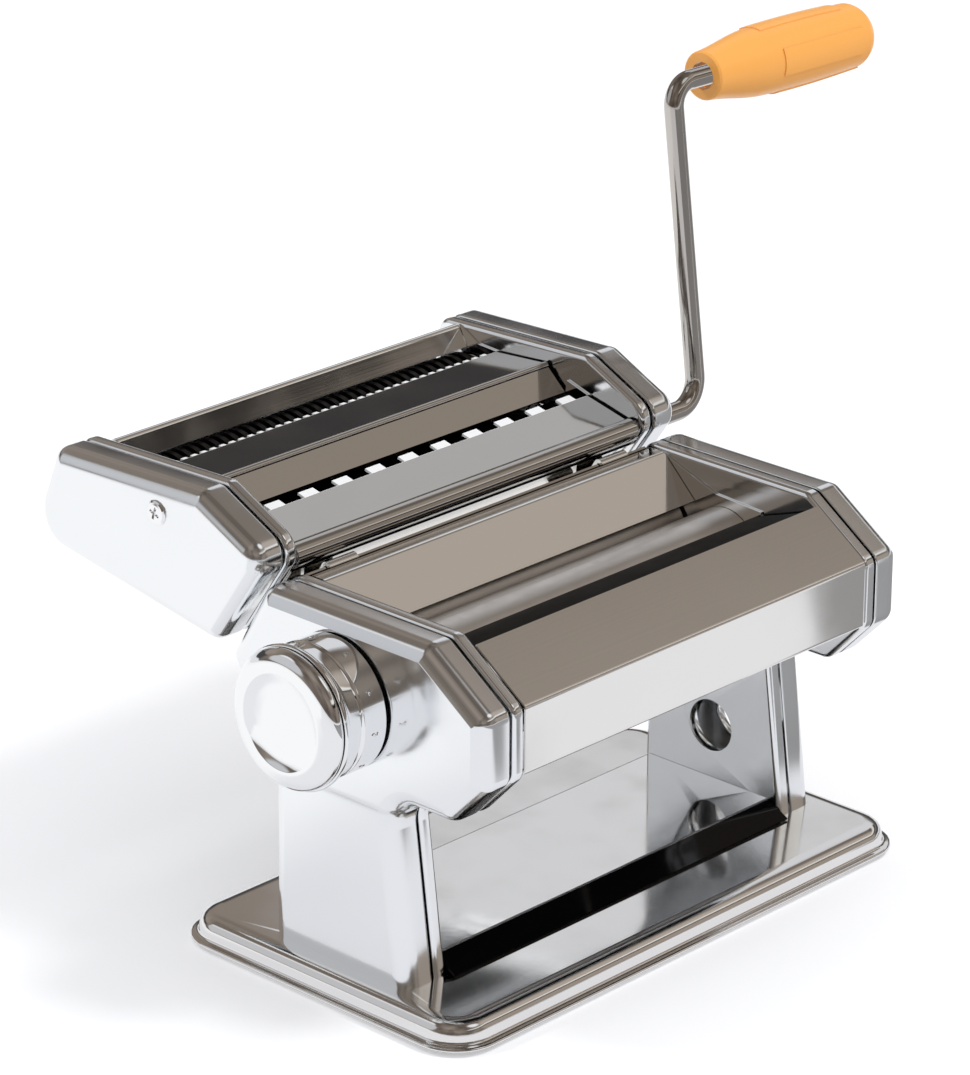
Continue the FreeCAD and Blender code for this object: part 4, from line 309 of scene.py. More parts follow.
def moulded(name, colour, roughness, grain, depth, mottle=0.06, sheen=0.5):
    """Moulded plastic or rubber: an even colour, a fine grain and a soft unevenness.

    A mould's real grain is near 0.1 mm, and is drawn coarser to show."""
    material, tree, shader, place = new_material(name)
    grains = add_node(tree, "ShaderNodeTexNoise", Vector=place, Scale=1 / grain, Detail=2.0)
    clouds = add_node(tree, "ShaderNodeTexNoise", Vector=place, Scale=90.0, Detail=3.0)
    shade = [c * (1 - mottle) for c in linear(colour)[:3]] + [1.0]
    tint = add_node(tree, "ShaderNodeMix", {"data_type": "RGBA"},
                    Factor=clouds.outputs["Fac"], input6=linear(colour), input7=shade)
    tree.links.new(tint.outputs[2], shader.inputs["Base Color"])
    gloss = add_node(tree, "ShaderNodeMapRange", Value=clouds.outputs["Fac"],
                     To_Min=roughness * 0.85, To_Max=roughness * 1.15)
    tree.links.new(gloss.outputs[0], shader.inputs["Roughness"])
    bump = add_node(tree, "ShaderNodeBump", Height=grains.outputs["Fac"],
                    Strength=1.0, Distance=depth)
    tree.links.new(bump.outputs[0], shader.inputs["Normal"])
    shader.inputs["Specular IOR Level"].default_value = sheen
    return material


rubber = moulded("moulded rubber", "#242322", 0.75, 0.0004, 0.00004)
dress("rubber_feet", rubber)


# The side plates and their covers are deep trays pressed from the same bright sheet.
# Pressing stretches away the rolling lines, so their faces are smooth mirrors.

pressed_sheet = bright_sheet("pressed and buffed stainless sheet", "#f1f3f5", 0.12,
                             0.004, 0.000001)
COLLAR_TAPER = 0.06
STEP_RUN, STEP_CUTS = 3.0, 6


def quarter_turn(steps):
    """The angles of a quarter turn in equal steps, both ends included."""
    return [math.pi / 2 * i / steps for i in range(steps + 1)]


def pressed_section(mouth, face, edge, curl):
    """A tray's wall as (place along X, inset): a curled mouth, a wall and a rounded edge."""
    way = 1.0 if face > mouth else -1.0
    curled = [(mouth + way * curl * (1 - math.cos(angle)), curl * (1 - math.sin(angle)))
              for angle in quarter_turn(4)]
    rounded = [(face - way * edge * (1 - math.sin(angle)), edge * (1 - math.cos(angle)))
               for angle in quarter_turn(8)]
    return curled + rounded


def pressed_tray(name, corners, mouth, face, edge, curl, wall, holes, collars=(), step=None):
    """A sheet pressed into a tray across X, with holes in its face.

    Each collar is (hole number, length): the hole's edge drawn inwards as a short tube.
    step is (height, depth): below that height the face stands back by that depth."""
    way = 1.0 if face > mouth else -1.0
    build = bmesh.new()
    rings = [vertices(build, [(x, y, z) for y, z in inset_outline(corners, inset)])
             for x, inset in pressed_section(mouth, face, edge, curl)]
    for near, far in zip(rings, rings[1:]):
        bridge(build, near, far, closed=corners[0][2] is not None)
    loops = [rings[-1]] + [vertices(build, [(face, y, z) for y, z in hole]) for hole in holes]
    fill(build, loops)
    for hole_number, length in collars:
        mouth_of_hole = loop = loops[1 + hole_number]
        middle = sum((v.co for v in loop), Vector()) / len(loop)
        for part in (0.25, 0.6, 1.0):
            tighter = 1.0 - COLLAR_TAPER * min(part / 0.6, 1.0)
            place = face - way * length * part ** 1.5
            following = [build.verts.new((place * MM, *(middle + (v.co - middle) * tighter).yz))
                         for v in mouth_of_hole]
            bridge(build, loop, following)
            loop = following
    if step:
        top, depth = step
        for cut in range(STEP_CUTS + 1):
            everything = build.verts[:] + build.edges[:] + build.faces[:]
            bmesh.ops.bisect_plane(build, geom=everything, plane_no=(0, 0, 1),
                                   plane_co=(0, 0, (top - cut * STEP_RUN / STEP_CUTS) * MM))
        for vertex in build.verts:
            down = min(max((top * MM - vertex.co.z) / (STEP_RUN * MM), 0.0), 1.0)
            down = down * down * (3 - 2 * down)
            reach = (vertex.co.x / MM - mouth) / (face - mouth)
            vertex.co.x -= way * depth * MM * down * max(reach, 0.0)
    return sheet_metal(name, build, (way, 0, 0), wall)


def press_sides(sides, outline, body):
    """Presses the trays of one body. Each node's sizes are those that pressed_tray takes."""
    for node, sizes in sides.items():
        side = pressed_tray("pressed_" + node, outline, *sizes)
        side.data.materials.append(pressed_sheet)
        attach(side, body)
        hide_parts(node)


body_outline = [
    (-29.7, 9.3, None), (-22.0, 68.5, 9.0), (-46.5, 68.5, 5.0), (-60.3, 83.0, 5.0),
    (-60.3, 104.6, 5.0), (-36.5, 121.0, 5.0), (29.0, 121.0, 5.0), (44.3, 95.5, 5.0),
    (27.0, 66.0, 12.0), (27.5, 9.3, None),
]
ROLLER_HEIGHT, REAR_ROLLER, DIAL = 94.8, 24.6, -2.6
clamp_hole, clamp_collar = circle(0.0, 32.0, 8.8, 48), ((0, 3.6),)
shaft_hole, dial_hole = circle(REAR_ROLLER, ROLLER_HEIGHT, 6.55), circle(DIAL, ROLLER_HEIGHT, 5.55)
rod_holes = [circle(y, z, 1.95) for y, z in ((-17, 72), (21.5, 70), (-50, 95), (24, 112.5))]
bearing_slot = [(-12.7, 87.75), (9.9, 87.75), (9.9, 101.85), (-12.7, 101.85)]
plate_holes = rod_holes + [shaft_hole, bearing_slot]
cover_step = (66.0, 0.9)
# Each node's mouth, face, rounded edge, curl, wall, holes, collars and step
body_sides = {
    "left_side_plate": (-80.7, -76.0, 1.7, 1.5, 1.0, plate_holes),
    "right_side_plate": (80.7, 76.0, 1.7, 0.5, 0.8, [clamp_hole] + plate_holes, clamp_collar),
    "left_cover": (-81.7, -93.5, 6.0, 1.4, 0.8, [dial_hole], (), cover_step),
    "right_cover": (81.7, 93.5, 6.0, 0.5, 0.8, [clamp_hole, shaft_hole], clamp_collar,
                    cover_step),
}
press_sides(body_sides, body_outline, "frame")


# Screws, tie rods and nuts are zinc plated steel, a little blue and duller than the sheet.
# The rods hold the two side plates apart, and the screws come up through the base.

def turned_metal(name, colour, roughness, spacing, depth, axis=0):
    """Turned or drawn metal: fine rings round one axis.

    A lathe's real rings are finer than spacing, and are drawn that coarse to show."""
    material, tree, shader, place = new_material(name)
    scale = [40.0, 40.0, 40.0]
    scale[axis] = 1 / spacing
    stretched = add_node(tree, "ShaderNodeMapping", Vector=place, Scale=scale)
    rings = add_node(tree, "ShaderNodeTexNoise", Vector=stretched.outputs[0],
                     Scale=1.0, Detail=2.0)
    spots = add_node(tree, "ShaderNodeTexNoise", Vector=place, Scale=300.0, Detail=3.0)
    dull = add_node(tree, "ShaderNodeMapRange", Value=spots.outputs["Fac"],
                    To_Min=roughness * 0.7, To_Max=roughness * 1.3)
    tree.links.new(dull.outputs[0], shader.inputs["Roughness"])
    bump = add_node(tree, "ShaderNodeBump", Height=rings.outputs["Fac"],
                    Strength=1.0, Distance=depth)
    tree.links.new(bump.outputs[0], shader.inputs["Normal"])
    shader.inputs["Base Color"].default_value = linear(colour)
    shader.inputs["Metallic"].default_value = 1.0
    return material


zinc = turned_metal("zinc plated steel", "#c9ccd0", 0.24, 0.0006, 0.000004)
dress("base_screws tie_rods tie_rod_nuts cutter_tie_rods cutter_rod_nuts shaft_nut", zinc)


# The panels between the side plates are folded from strips of the bright sheet.
# Their long rolling lines run from side to side, and draw every reflection out along them.

strip = ("#eeedeb", 0.07, 0.0009, 0.000004)
# Each strip's side that faces into the machine is painted dark, as painted shade.
forward_strip = bright_sheet("stainless strip with painted shade on its back", *strip,
                             painted_shade_side=(0.0, 0.6, -0.8))
rearward_strip = bright_sheet("stainless strip with painted shade on its front", *strip,
                              painted_shade_side=(0.0, -0.9, -0.44))
dress("front_panel hopper_rear_panel cutter_front_panel mounting_hooks", forward_strip)
dress("back_panel", rearward_strip)
dress("hopper_guides feed_guides", bright_sheet("stainless cheek plate", *strip))


# The cutter head's own sheets: the rear one is plain, and the other two end in a row of
# sheared tongues that reach between the cutters' rings. Those two are a greyer steel as
# painted shade, and their satin tongues are painted near white as painted highlight.

shade_grey_strip = ("#c0bdb9", 0.08, 0.0009, 0.000004)
dress("cutter_rear_panel", forward_strip)
dress("cutter_divider", bright_sheet("divider strip with sheared teeth", *shade_grey_strip,
                                     painted_shade_side=(0.0, 0.0, -1.0), sheared_from=0.0939))
dress("cutter_front_guard", bright_sheet("guard strip with sheared tongues", *shade_grey_strip,
                                         painted_shade_side=(0.0, 0.2, -0.98), sheared_from=0.0539))


# Scrapers and combs are moulded in plastic, and lift the dough off the steel. Their dark
# grey is painted shade, so they stay dark inside the machine, and they keep a fine matt grain.

shade_dark_plastic = moulded("moulded plastic painted dark grey as shade", "#161617", 0.5, 0.0004, 0.000008, sheen=0.2)
dress("front_scraper rear_scraper fine_combs wide_combs", shade_dark_plastic)


# A guess: the photograph is black between the front panel and the roller, where the bare
# roller would shine. This black strip is painted shade that stands in for that dark gap. It has
# no solid, and stays 3.6 mm from the roller, which only slides away from it.

shade_black_plastic = moulded("black plastic standing in for shade", "#050506", 0.5, 0.0004, 0.000008, sheen=0.12)
APRON_HALF_WIDTH = 74.5
apron_profile = [(-42.5, 113.9), (-42.2, 114.9), (-39.6, 116.2), (-17.2, 108.5), (-16.2, 107.9),
                 (-15.9, 107.2), (-16.5, 107.1), (-17.6, 107.6), (-39.6, 115.2), (-41.6, 114.2)]
build = bmesh.new()
ends = [vertices(build, [(x, y, z) for y, z in apron_profile])
        for x in (-APRON_HALF_WIDTH, APRON_HALF_WIDTH)]
bridge(build, *ends)
for end in ends:
    build.faces.new(end)
bmesh.ops.triangulate(build, faces=[face for face in build.faces if len(face.verts) > 4])
bmesh.ops.recalc_face_normals(build, faces=build.faces[:])
apron = finished("roller_apron", build, [SOFT_NORMALS])
apron.data.materials.append(shade_black_plastic)
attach(apron, "frame")


# The dial's small parts work inside the knob: a punched plate, a turned pin and a coil spring.
# They are ground and not polished, so they are greyer than the sheet.

ground_steel = turned_metal("ground spring steel", "#b9b7b4", 0.28, 0.0008, 0.000004)
dress("index_plate index_pin knob_spring", ground_steel)


# The smooth rollers are steel tubes, turned and ground round their own length.
# They are a satin grey beside the bright sheet, and their shafts are the same steel.

roller_steel = turned_metal("turned and ground roller steel", "#e2deda", 0.33,
                            0.0007, 0.000005)
dress("front_roller rear_roller front_roller_shaft rear_roller_shaft dial_shaft", roller_steel)


# The gears and the dial's cam are pressed from steel powder and sintered, then fixed on
# their shafts. Sintered steel is dark, slightly oily and pitted.

def sintered_metal(name, colour, roughness):
    """Sintered steel: dark grey with fine pores, drawn coarser than real ones to show."""
    material, tree, shader, place = new_material(name)
    pores = add_node(tree, "ShaderNodeTexNoise", Vector=place, Scale=1600.0, Detail=3.0)
    dull = add_node(tree, "ShaderNodeMapRange", Value=pores.outputs["Fac"],
                    To_Min=roughness * 0.8, To_Max=roughness * 1.3)
    tree.links.new(dull.outputs[0], shader.inputs["Roughness"])
    bump = add_node(tree, "ShaderNodeBump", Height=pores.outputs["Fac"],
                    Strength=1.0, Distance=0.00003)
    tree.links.new(bump.outputs[0], shader.inputs["Normal"])
    shader.inputs["Base Color"].default_value = linear(colour)
    shader.inputs["Metallic"].default_value = 0.9
    return material


sintered_steel = sintered_metal("sintered steel", "#6f6d6a", 0.42)
dress("front_gear rear_gear scroll_cam", sintered_steel)
dress("fine_front_gear fine_rear_gear wide_front_gear wide_rear_gear", sintered_steel)


# The bearing blocks are sintered like the gears, and slide in slots in the side plates.
# The bushes are moulded in natural nylon, a warm white with a slight gloss.

white_nylon = moulded("natural nylon", "#dedbd2", 0.38, 0.0003, 0.000006)
dress("left_bearing_block right_bearing_block", sintered_steel)
dress("rear_bushes dial_bush cutter_bushes", white_nylon)


# The knob is moulded and chrome plated all over, a body with a domed cap pressed into it.
# Plating follows the moulding, so its mirror is a little softer than the sheet's.

def plating(name, colour, roughness):
    """Bright plating: a mirror with a very slight unevenness, about 15 mm across."""
    material, tree, shader, place = new_material(name)
    waves = add_node(tree, "ShaderNodeTexNoise", Vector=place, Scale=70.0, Detail=2.0)
    dull = add_node(tree, "ShaderNodeMapRange", Value=waves.outputs["Fac"],
                    To_Min=roughness * 0.7, To_Max=roughness * 1.4)
    tree.links.new(dull.outputs[0], shader.inputs["Roughness"])
    bump = add_node(tree, "ShaderNodeBump", Height=waves.outputs["Fac"],
                    Strength=1.0, Distance=0.00003)
    tree.links.new(bump.outputs[0], shader.inputs["Normal"])
    shader.inputs["Base Color"].default_value = linear(colour)
    shader.inputs["Metallic"].default_value = 1.0
    return material


knob_chrome = plating("chrome plating on a moulding", "#f3f4f5", 0.045)
seam_shade_black = moulded("black seam shade", "#0b0b0c", 0.5, 0.0005, 0.00001)


def turned_round(name, profile, depth, height, steps=96):
    """A closed profile of (place along X, radius) spun round an axis along X."""
    build = bmesh.new()
    rings = []
    for x, radius in profile:
        if radius == 0:
            rings.append(vertices(build, [(x, depth, height)]) * steps)
        else:
            rings.append(vertices(build, [(x, y, z) for y, z in
                                          circle(depth, height, radius, steps)]))
    for near, far in zip(rings, rings[1:] + rings[:1]):
        bridge(build, near, far)
    bmesh.ops.recalc_face_normals(build, faces=build.faces[:])
    return finished(name, build, [("WEIGHTED_NORMAL", {"keep_sharp": True, "weight": 100})])


# The body from the cover outwards: a skirt for the numbers, a waist, and a rim round the cap
body_profile = [
    (-95.5, 4.05), (-95.5, 17.8), (-94.5, 18.0), (-94.4, 18.3), (-94.4, 20.3), (-94.55, 20.7),
    (-94.9, 20.9), (-103.2, 20.9), (-103.5, 20.75), (-103.8, 20.35), (-104.4, 20.15),
    (-107.6, 20.1), (-108.6, 20.25), (-109.3, 20.7), (-109.8, 21.3), (-110.1, 21.8),
    (-110.5, 22.1), (-111.0, 22.2), (-111.6, 22.2), (-112.0, 22.05), (-112.2, 21.7),
    (-112.2, 18.9), (-97.5, 18.9), (-97.5, 7.0), (-100.0, 7.0), (-100.0, 4.05)]
knob = turned_round("knob_moulding", body_profile, DIAL, ROLLER_HEIGHT)
knob.data.materials.append(knob_chrome)
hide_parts("knob_body")

# The cap: a shallow dish inside a crest, and a rounded shoulder down to the seam
DISH_FLOOR, DISH_RADIUS, DISH_DEPTH = -115.1, 15.0, 1.9
dish = [(DISH_FLOOR - DISH_DEPTH * (radius / DISH_RADIUS) ** 4.0, radius)
        for radius in (0, 3, 6, 8, 9.5, 11, 12, 13, 14, 14.6, DISH_RADIUS)]
crest = [(-117.0, 15.35), (-117.0, 15.8), (-116.9, 16.4)]
shoulder = [(-112.75 - 4.1 * math.cos(turn), 16.4 + 5.2 * math.sin(turn))
            for turn in quarter_turn(10)[1:]]
cap_profile = dish + crest + shoulder + [(-112.6, 21.2), (-112.55, 20.6), (-111.2, 18.88),
                                         (-111.2, 17.6), (-112.7, 17.4), (-113.6, 0)]
cap = turned_round("knob_cap_moulding", cap_profile, DIAL, ROLLER_HEIGHT)
cap.data.materials.append(knob_chrome)
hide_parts("knob_cap")

# A black ring in the seam between the two, painted shade that darkens the groove
seam_profile = [(-112.15, 18.95), (-112.15, 21.35), (-112.65, 21.35), (-112.65, 18.95)]
seam_ring = turned_round("knob_seam_ring", seam_profile, DIAL, ROLLER_HEIGHT)
seam_ring.data.materials.append(seam_shade_black)

# Plain numbers stand up round the skirt, with a dot half way between each two.
NUMBER_CIRCLE, SKIRT_MIDDLE, NUMBER_COUNT, FIRST_NUMBER_ANGLE = 20.85, -99.4, 10, 8.0
build = bmesh.new()
for number in range(NUMBER_COUNT):
    curve = bpy.data.curves.new("digit", "FONT")
    curve.body = str(number)
    curve.size, curve.extrude, curve.bevel_depth = 3.6, 0.22, 0.06
    curve.align_x, curve.align_y = "CENTER", "CENTER"
    text = bpy.data.objects.new("digit", curve)
    bpy.context.scene.collection.objects.link(text)
    bpy.context.view_layer.update()
    mesh = bpy.data.meshes.new_from_object(
        text.evaluated_get(bpy.context.evaluated_depsgraph_get()))
    bpy.data.objects.remove(text)
    start = math.radians(360.0 / NUMBER_COUNT * number + FIRST_NUMBER_ANGLE)
    for vertex in mesh.vertices:
        x, y, z = vertex.co
        turn = start - x / NUMBER_CIRCLE
        radius = NUMBER_CIRCLE + z
        vertex.co = Vector((SKIRT_MIDDLE + y, DIAL + radius * math.cos(turn),
                            ROLLER_HEIGHT + radius * math.sin(turn))) * MM
    build.from_mesh(mesh)
bmesh.ops.recalc_face_normals(build, faces=build.faces[:])
numbers = finished("knob_numbers", build)
numbers.data.materials.append(knob_chrome)


def dot_ring():
    """A tree that sets small domed dots in a ring round X, and its material's socket."""
    tree = bpy.data.node_groups.new("dots_round_a_knob", "GeometryNodeTree")
    for name, value in (("Count", NUMBER_COUNT), ("Ring Radius", 0.0208), ("Dot Radius", 0.0005),
                        ("Along", SKIRT_MIDDLE * MM), ("Start", 0.45)):
        kind = "NodeSocketInt" if isinstance(value, int) else "NodeSocketFloat"
        socket = tree.interface.new_socket(name, in_out="INPUT", socket_type=kind)
        socket.default_value = value
    finish_socket = tree.interface.new_socket("Material", in_out="INPUT",
                                              socket_type="NodeSocketMaterial")
    tree.interface.new_socket("Geometry", in_out="OUTPUT", socket_type="NodeSocketGeometry")
    given = add_node(tree, "NodeGroupInput").outputs
    circle_points = add_node(tree, "GeometryNodeMeshCircle", {"fill_type": "NONE"},
                             Vertices=given["Count"], Radius=given["Ring Radius"])
    dot = add_node(tree, "GeometryNodeMeshIcoSphere", Radius=given["Dot Radius"], Subdivisions=2)
    dots = add_node(tree, "GeometryNodeInstanceOnPoints", Points=circle_points.outputs["Mesh"],
                    Instance=dot.outputs["Mesh"])
    turned = add_node(tree, "GeometryNodeTransform", Geometry=dots.outputs["Instances"],
                      Rotation=(0.0, math.pi / 2, 0.0))
    phase = add_node(tree, "ShaderNodeCombineXYZ", X=given["Start"])
    offset = add_node(tree, "ShaderNodeCombineXYZ", X=given["Along"], Y=DIAL * MM,
                      Z=ROLLER_HEIGHT * MM)
    placed = add_node(tree, "GeometryNodeTransform", Geometry=turned.outputs["Geometry"],
                      Rotation=phase.outputs[0], Translation=offset.outputs[0])
    real = add_node(tree, "GeometryNodeRealizeInstances", Geometry=placed.outputs["Geometry"])
    finish = add_node(tree, "GeometryNodeSetMaterial", Geometry=real.outputs["Geometry"],
                      Material=given["Material"])
    result = add_node(tree, "NodeGroupOutput")
    tree.links.new(finish.outputs["Geometry"], result.inputs["Geometry"])
    return tree, finish_socket.identifier


dots = bpy.data.objects.new("knob_dots", bpy.data.meshes.new("knob_dots"))
bpy.context.scene.collection.objects.link(dots)
modifier = dots.modifiers.new("dots", "NODES")
modifier.node_group, material_input = dot_ring()
modifier[material_input] = knob_chrome
bpy.context.view_layer.update()
dots.data = bpy.data.meshes.new_from_object(
    dots.evaluated_get(bpy.context.evaluated_depsgraph_get()))
dots.modifiers.clear()
for piece in (knob, cap, seam_ring, numbers, dots):
    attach(piece, "knob")


# The cutter head has side plates and covers of its own, pressed like the body's.
# Each cover is held by one chrome plated screw with a cross recess.

cutter_outline = [
    (56.0, 143.0, 5.0), (119.5, 141.0, 5.0), (132.0, 110.0, 12.0), (50.0, 96.5, 5.0),
    (27.5, 129.0, 7.5),
]
SCREW_DEPTH, SCREW_HEIGHT, COVER_FACE, PLATE_FACE = 73.3, 132.3, 93.5, 76.0
screw_hole = circle(SCREW_DEPTH, SCREW_HEIGHT, 1.95)
shaft_holes = [circle(y, z, 6.15) for y, z in
               ((87.9, 123.5), (105.9, 123.5), (50.0, 116.0), (68.0, 116.0))]
cutter_rod_holes = [circle(y, z, 1.95) for y, z in
                    ((35.6, 123.5), (78.5, 107.0), (119.5, 117.5))]
cutter_plate_holes = shaft_holes + cutter_rod_holes + [screw_hole]
cutter_sides = {
    "cutter_left_plate": (-80.7, -PLATE_FACE, 1.7, 1.5, 1.0, cutter_plate_holes),
    "cutter_right_plate": (80.7, PLATE_FACE, 1.7, 1.5, 1.0, cutter_plate_holes),
    "cutter_left_cover": (-81.7, -COVER_FACE, 5.5, 1.4, 0.8, [screw_hole]),
    "cutter_right_cover": (81.7, COVER_FACE, 5.5, 1.0, 0.8,
                           [screw_hole, shaft_holes[0], shaft_holes[2]]),
}
press_sides(cutter_sides, cutter_outline, "cutter_head")

RECESS_ANGLE = 0.35
# Each bar of the recess at its mouth and at its floor: place along X, half length, half width
recess_bar = ((95.4, 2.5, 0.52), (93.3, 1.3, 0.3))


def cross_recess(side):
    """The cutter of a cross recess: two tapered bars that meet at the screw's axis."""
    build = bmesh.new()
    for turn in (RECESS_ANGLE, RECESS_ANGLE + math.pi / 2):
        rings = []
        for x, length, width in recess_bar:
            corners = [(across * length, up * width)
                       for across, up in ((-1, -1), (1, -1), (1, 1), (-1, 1))]
            rings.append(vertices(build, [
                (x * side, SCREW_DEPTH + y * math.cos(turn) - z * math.sin(turn),
                 SCREW_HEIGHT + y * math.sin(turn) + z * math.cos(turn)) for y, z in corners]))
        bridge(build, *rings)
        for ring in rings:
            build.faces.new(ring)
    bmesh.ops.recalc_face_normals(build, faces=build.faces[:])
    return finished("cross_recess", build)


head_profile = [(COVER_FACE, 0), (COVER_FACE, 4.0), (93.75, 4.0), (93.95, 3.85), (94.3, 3.3),
                (94.5, 2.6), (94.6, 1.4), (94.6, 0)]
screws = bmesh.new()
for side in (-1, 1):
    screw = turned_round("cutter_screw", [(x * side, radius) for x, radius in head_profile],
                         SCREW_DEPTH, SCREW_HEIGHT, 48)
    recess = cross_recess(side)
    cutting = screw.modifiers.new("recess", "BOOLEAN")
    cutting.operation, cutting.solver, cutting.object = "DIFFERENCE", "EXACT", recess
    cutting.use_self = True
    screws.from_mesh(bpy.data.meshes.new_from_object(
        screw.evaluated_get(bpy.context.evaluated_depsgraph_get())))
    bpy.data.objects.remove(screw)
    bpy.data.objects.remove(recess)
for side in (-1, 1):
    shank = circle(SCREW_DEPTH, SCREW_HEIGHT, 1.9, 24)
    rings = [vertices(screws, [(x * side, y, z) for y, z in shank])
             for x in (COVER_FACE, PLATE_FACE)]
    bridge(screws, *rings)
    for ring in rings:
        screws.faces.new(ring)
bmesh.ops.recalc_face_normals(screws, faces=screws.faces[:])
cover_screws = finished("cover_screws", screws)
for polygon in cover_screws.data.polygons:
    polygon.use_smooth = False
cover_screws.data.materials.clear()
cover_screws.data.materials.append(knob_chrome)
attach(cover_screws, "cutter_head")
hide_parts("cutter_screws")


# The grooved cutters are turned and milled from steel bar. Their near black colour is painted
# shade, down in their slots behind the bright teeth of the sheets.

shaded_cutter_steel = turned_metal("cutter steel painted dark as shade", "#2e2c2a", 0.42, 0.0005, 0.000004)
dress("fine_cutter_front fine_cutter_rear wide_cutter_front wide_cutter_rear", shaded_cutter_steel)


# The crank is a round steel rod, bent twice, plated, and plugged into the front wide cutter.
# Plating over a drawn rod is bright with a slight blur, and darker than the polished sheet.

CRANK_DEPTH, CRANK_HEIGHT = 50.0, 116.0
ROD_RADIUS, ROD_BEVEL, ROD_SIDES, ROD_START, ROD_END = 3.25, 0.6, 40, 76.0, 89.4
CRANK_REACH, CRANK_ARM, LOW_BEND, HIGH_BEND = 124.2, 106.0, 10.0, 8.0
lean, droop = math.radians(7.3), math.radians(0.75)
low_corner = Vector((CRANK_REACH, 0, 0))
high_corner = Vector((CRANK_REACH, 0, CRANK_ARM))
along_x, across, upwards = Vector((1, 0, 0)), Vector((0, 1, 0)), Vector((0, 0, 1))
pin_way = Vector((math.cos(droop), 0, -math.sin(droop)))


def round_bend(corner, arrive, leave, reach, steps=20):
    """Points and directions of an arc that leaves one straight run and joins the next."""
    first = corner - arrive * reach
    half_turn = arrive.angle(leave) / 2
    radius = reach / math.tan(half_turn)
    centre = corner + (leave - arrive).normalized() * radius / math.cos(half_turn)
    points = []
    for step in range(steps + 1):
        angle = 2 * half_turn * step / steps
        points.append((centre + (first - centre) * math.cos(angle)
                       + arrive * radius * math.sin(angle),
                       arrive * math.cos(angle) + (centre - first).normalized() * math.sin(angle)))
    return points


path = [(Vector((ROD_START, 0, 0)), along_x, ROD_RADIUS - ROD_BEVEL),
        (Vector((ROD_START + ROD_BEVEL, 0, 0)), along_x, ROD_RADIUS)]
path += [(*point, ROD_RADIUS) for point in round_bend(low_corner, along_x, upwards, LOW_BEND)]
path += [(*point, ROD_RADIUS) for point in round_bend(high_corner, upwards, pin_way, HIGH_BEND)]
path += [(high_corner + pin_way * (ROD_END - ROD_BEVEL), pin_way, ROD_RADIUS),
         (high_corner + pin_way * ROD_END, pin_way, ROD_RADIUS - ROD_BEVEL)]
build = bmesh.new()
rings = []
leaned = Matrix.Translation((0, CRANK_DEPTH, CRANK_HEIGHT)) @ Matrix.Rotation(-lean, 4, "X")
for point, tangent, radius in path:
    beside = tangent.cross(across)
    turns = (2 * math.pi * i / ROD_SIDES for i in range(ROD_SIDES))
    rings.append([build.verts.new(leaned @ (point + (across * math.cos(turn)
                                                     + beside * math.sin(turn)) * radius) * MM)
                  for turn in turns])
for near, far in zip(rings, rings[1:]):
    bridge(build, near, far)
for ring in (rings[0], rings[-1]):
    build.faces.new(ring)
bmesh.ops.recalc_face_normals(build, faces=build.faces[:])
plated_rod = finished("plated_crank_rod", build, [SOFT_NORMALS])
crank_plating = plating("nickel chrome plating on rod", "#c4bfba", 0.11)
plated_rod.data.materials.append(crank_plating)
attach(plated_rod, "crank")
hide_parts("crank_rod")


# The grip is moulded in warm orange-yellow plastic, with four raised pads for the fingers,
# and turns on the crank's pin. The photograph shows no orange in the sheet, so the metal
# doesn't mirror the grip.

grip_plastic = moulded("orange yellow moulded plastic", "#f6ac53", 0.34, 0.0006, 0.00001,
                       mottle=0.03)
dress("grip", grip_plastic)
nodes["grip"].visible_glossy = False


# The floor is a wide white sheet, bright to the camera. What the metal mirrors of it is a
# glowing painted reflection: a pale grey card in front with darker floor beside it as painted
# shade, and pure white behind.

def paint(tree, place, under, colour, edges):
    """Lays a colour over a picture wherever all of its soft edges hold.

    An edge is (way, low, high): it rises smoothly from 0 at low to 1 at high along that way,
    which is a direction in place or a socket that gives the measure."""
    mask = 1.0
    for way, low, high in edges:
        if isinstance(way, tuple):
            way = add_node(tree, "ShaderNodeVectorMath", {"operation": "DOT_PRODUCT"},
                           input0=place, input1=way).outputs["Value"]
        edge = add_node(tree, "ShaderNodeMapRange", {"interpolation_type": "SMOOTHSTEP"},
                        Value=way, From_Min=low, From_Max=high)
        mask = add_node(tree, "ShaderNodeMath", {"operation": "MULTIPLY"},
                        input0=mask, input1=edge.outputs[0]).outputs[0]
    mix = add_node(tree, "ShaderNodeMix", {"data_type": "RGBA"}, Factor=mask,
                   input6=under, input7=linear(colour))
    return mix.outputs[2]


FLOOR_HALF_WIDTH = 6.0
floor_mesh = bpy.data.meshes.new("floor")
build = bmesh.new()
bmesh.ops.create_grid(build, x_segments=2, y_segments=2, size=FLOOR_HALF_WIDTH)
build.to_mesh(floor_mesh)
build.free()
floor = bpy.data.objects.new("floor", floor_mesh)
bpy.context.scene.collection.objects.link(floor)

white_paper, tree, shader, place = new_material("white paper floor")
shader.inputs["Base Color"].default_value = linear("#e9e9ea")
shader.inputs["Roughness"].default_value = 0.9
shader.inputs["Specular IOR Level"].default_value = 0.0
beside = add_node(tree, "ShaderNodeVectorMath", {"operation": "DOT_PRODUCT"},
                  input0=place, input1=(0.638, 0.676, 0.0))
off_centre = add_node(tree, "ShaderNodeMath", {"operation": "SUBTRACT"},
                      input0=beside.outputs["Value"], input1=-0.0408)
off_card = add_node(tree, "ShaderNodeMath", {"operation": "ABSOLUTE"},
                    input0=off_centre.outputs[0])
card = paint(tree, place, linear("#e9e9ec"), "#6f6d6b",
             [(off_card.outputs[0], 0.0485, 0.0515), ((0.676, -0.638, 0.0), 0.145, 0.16)])
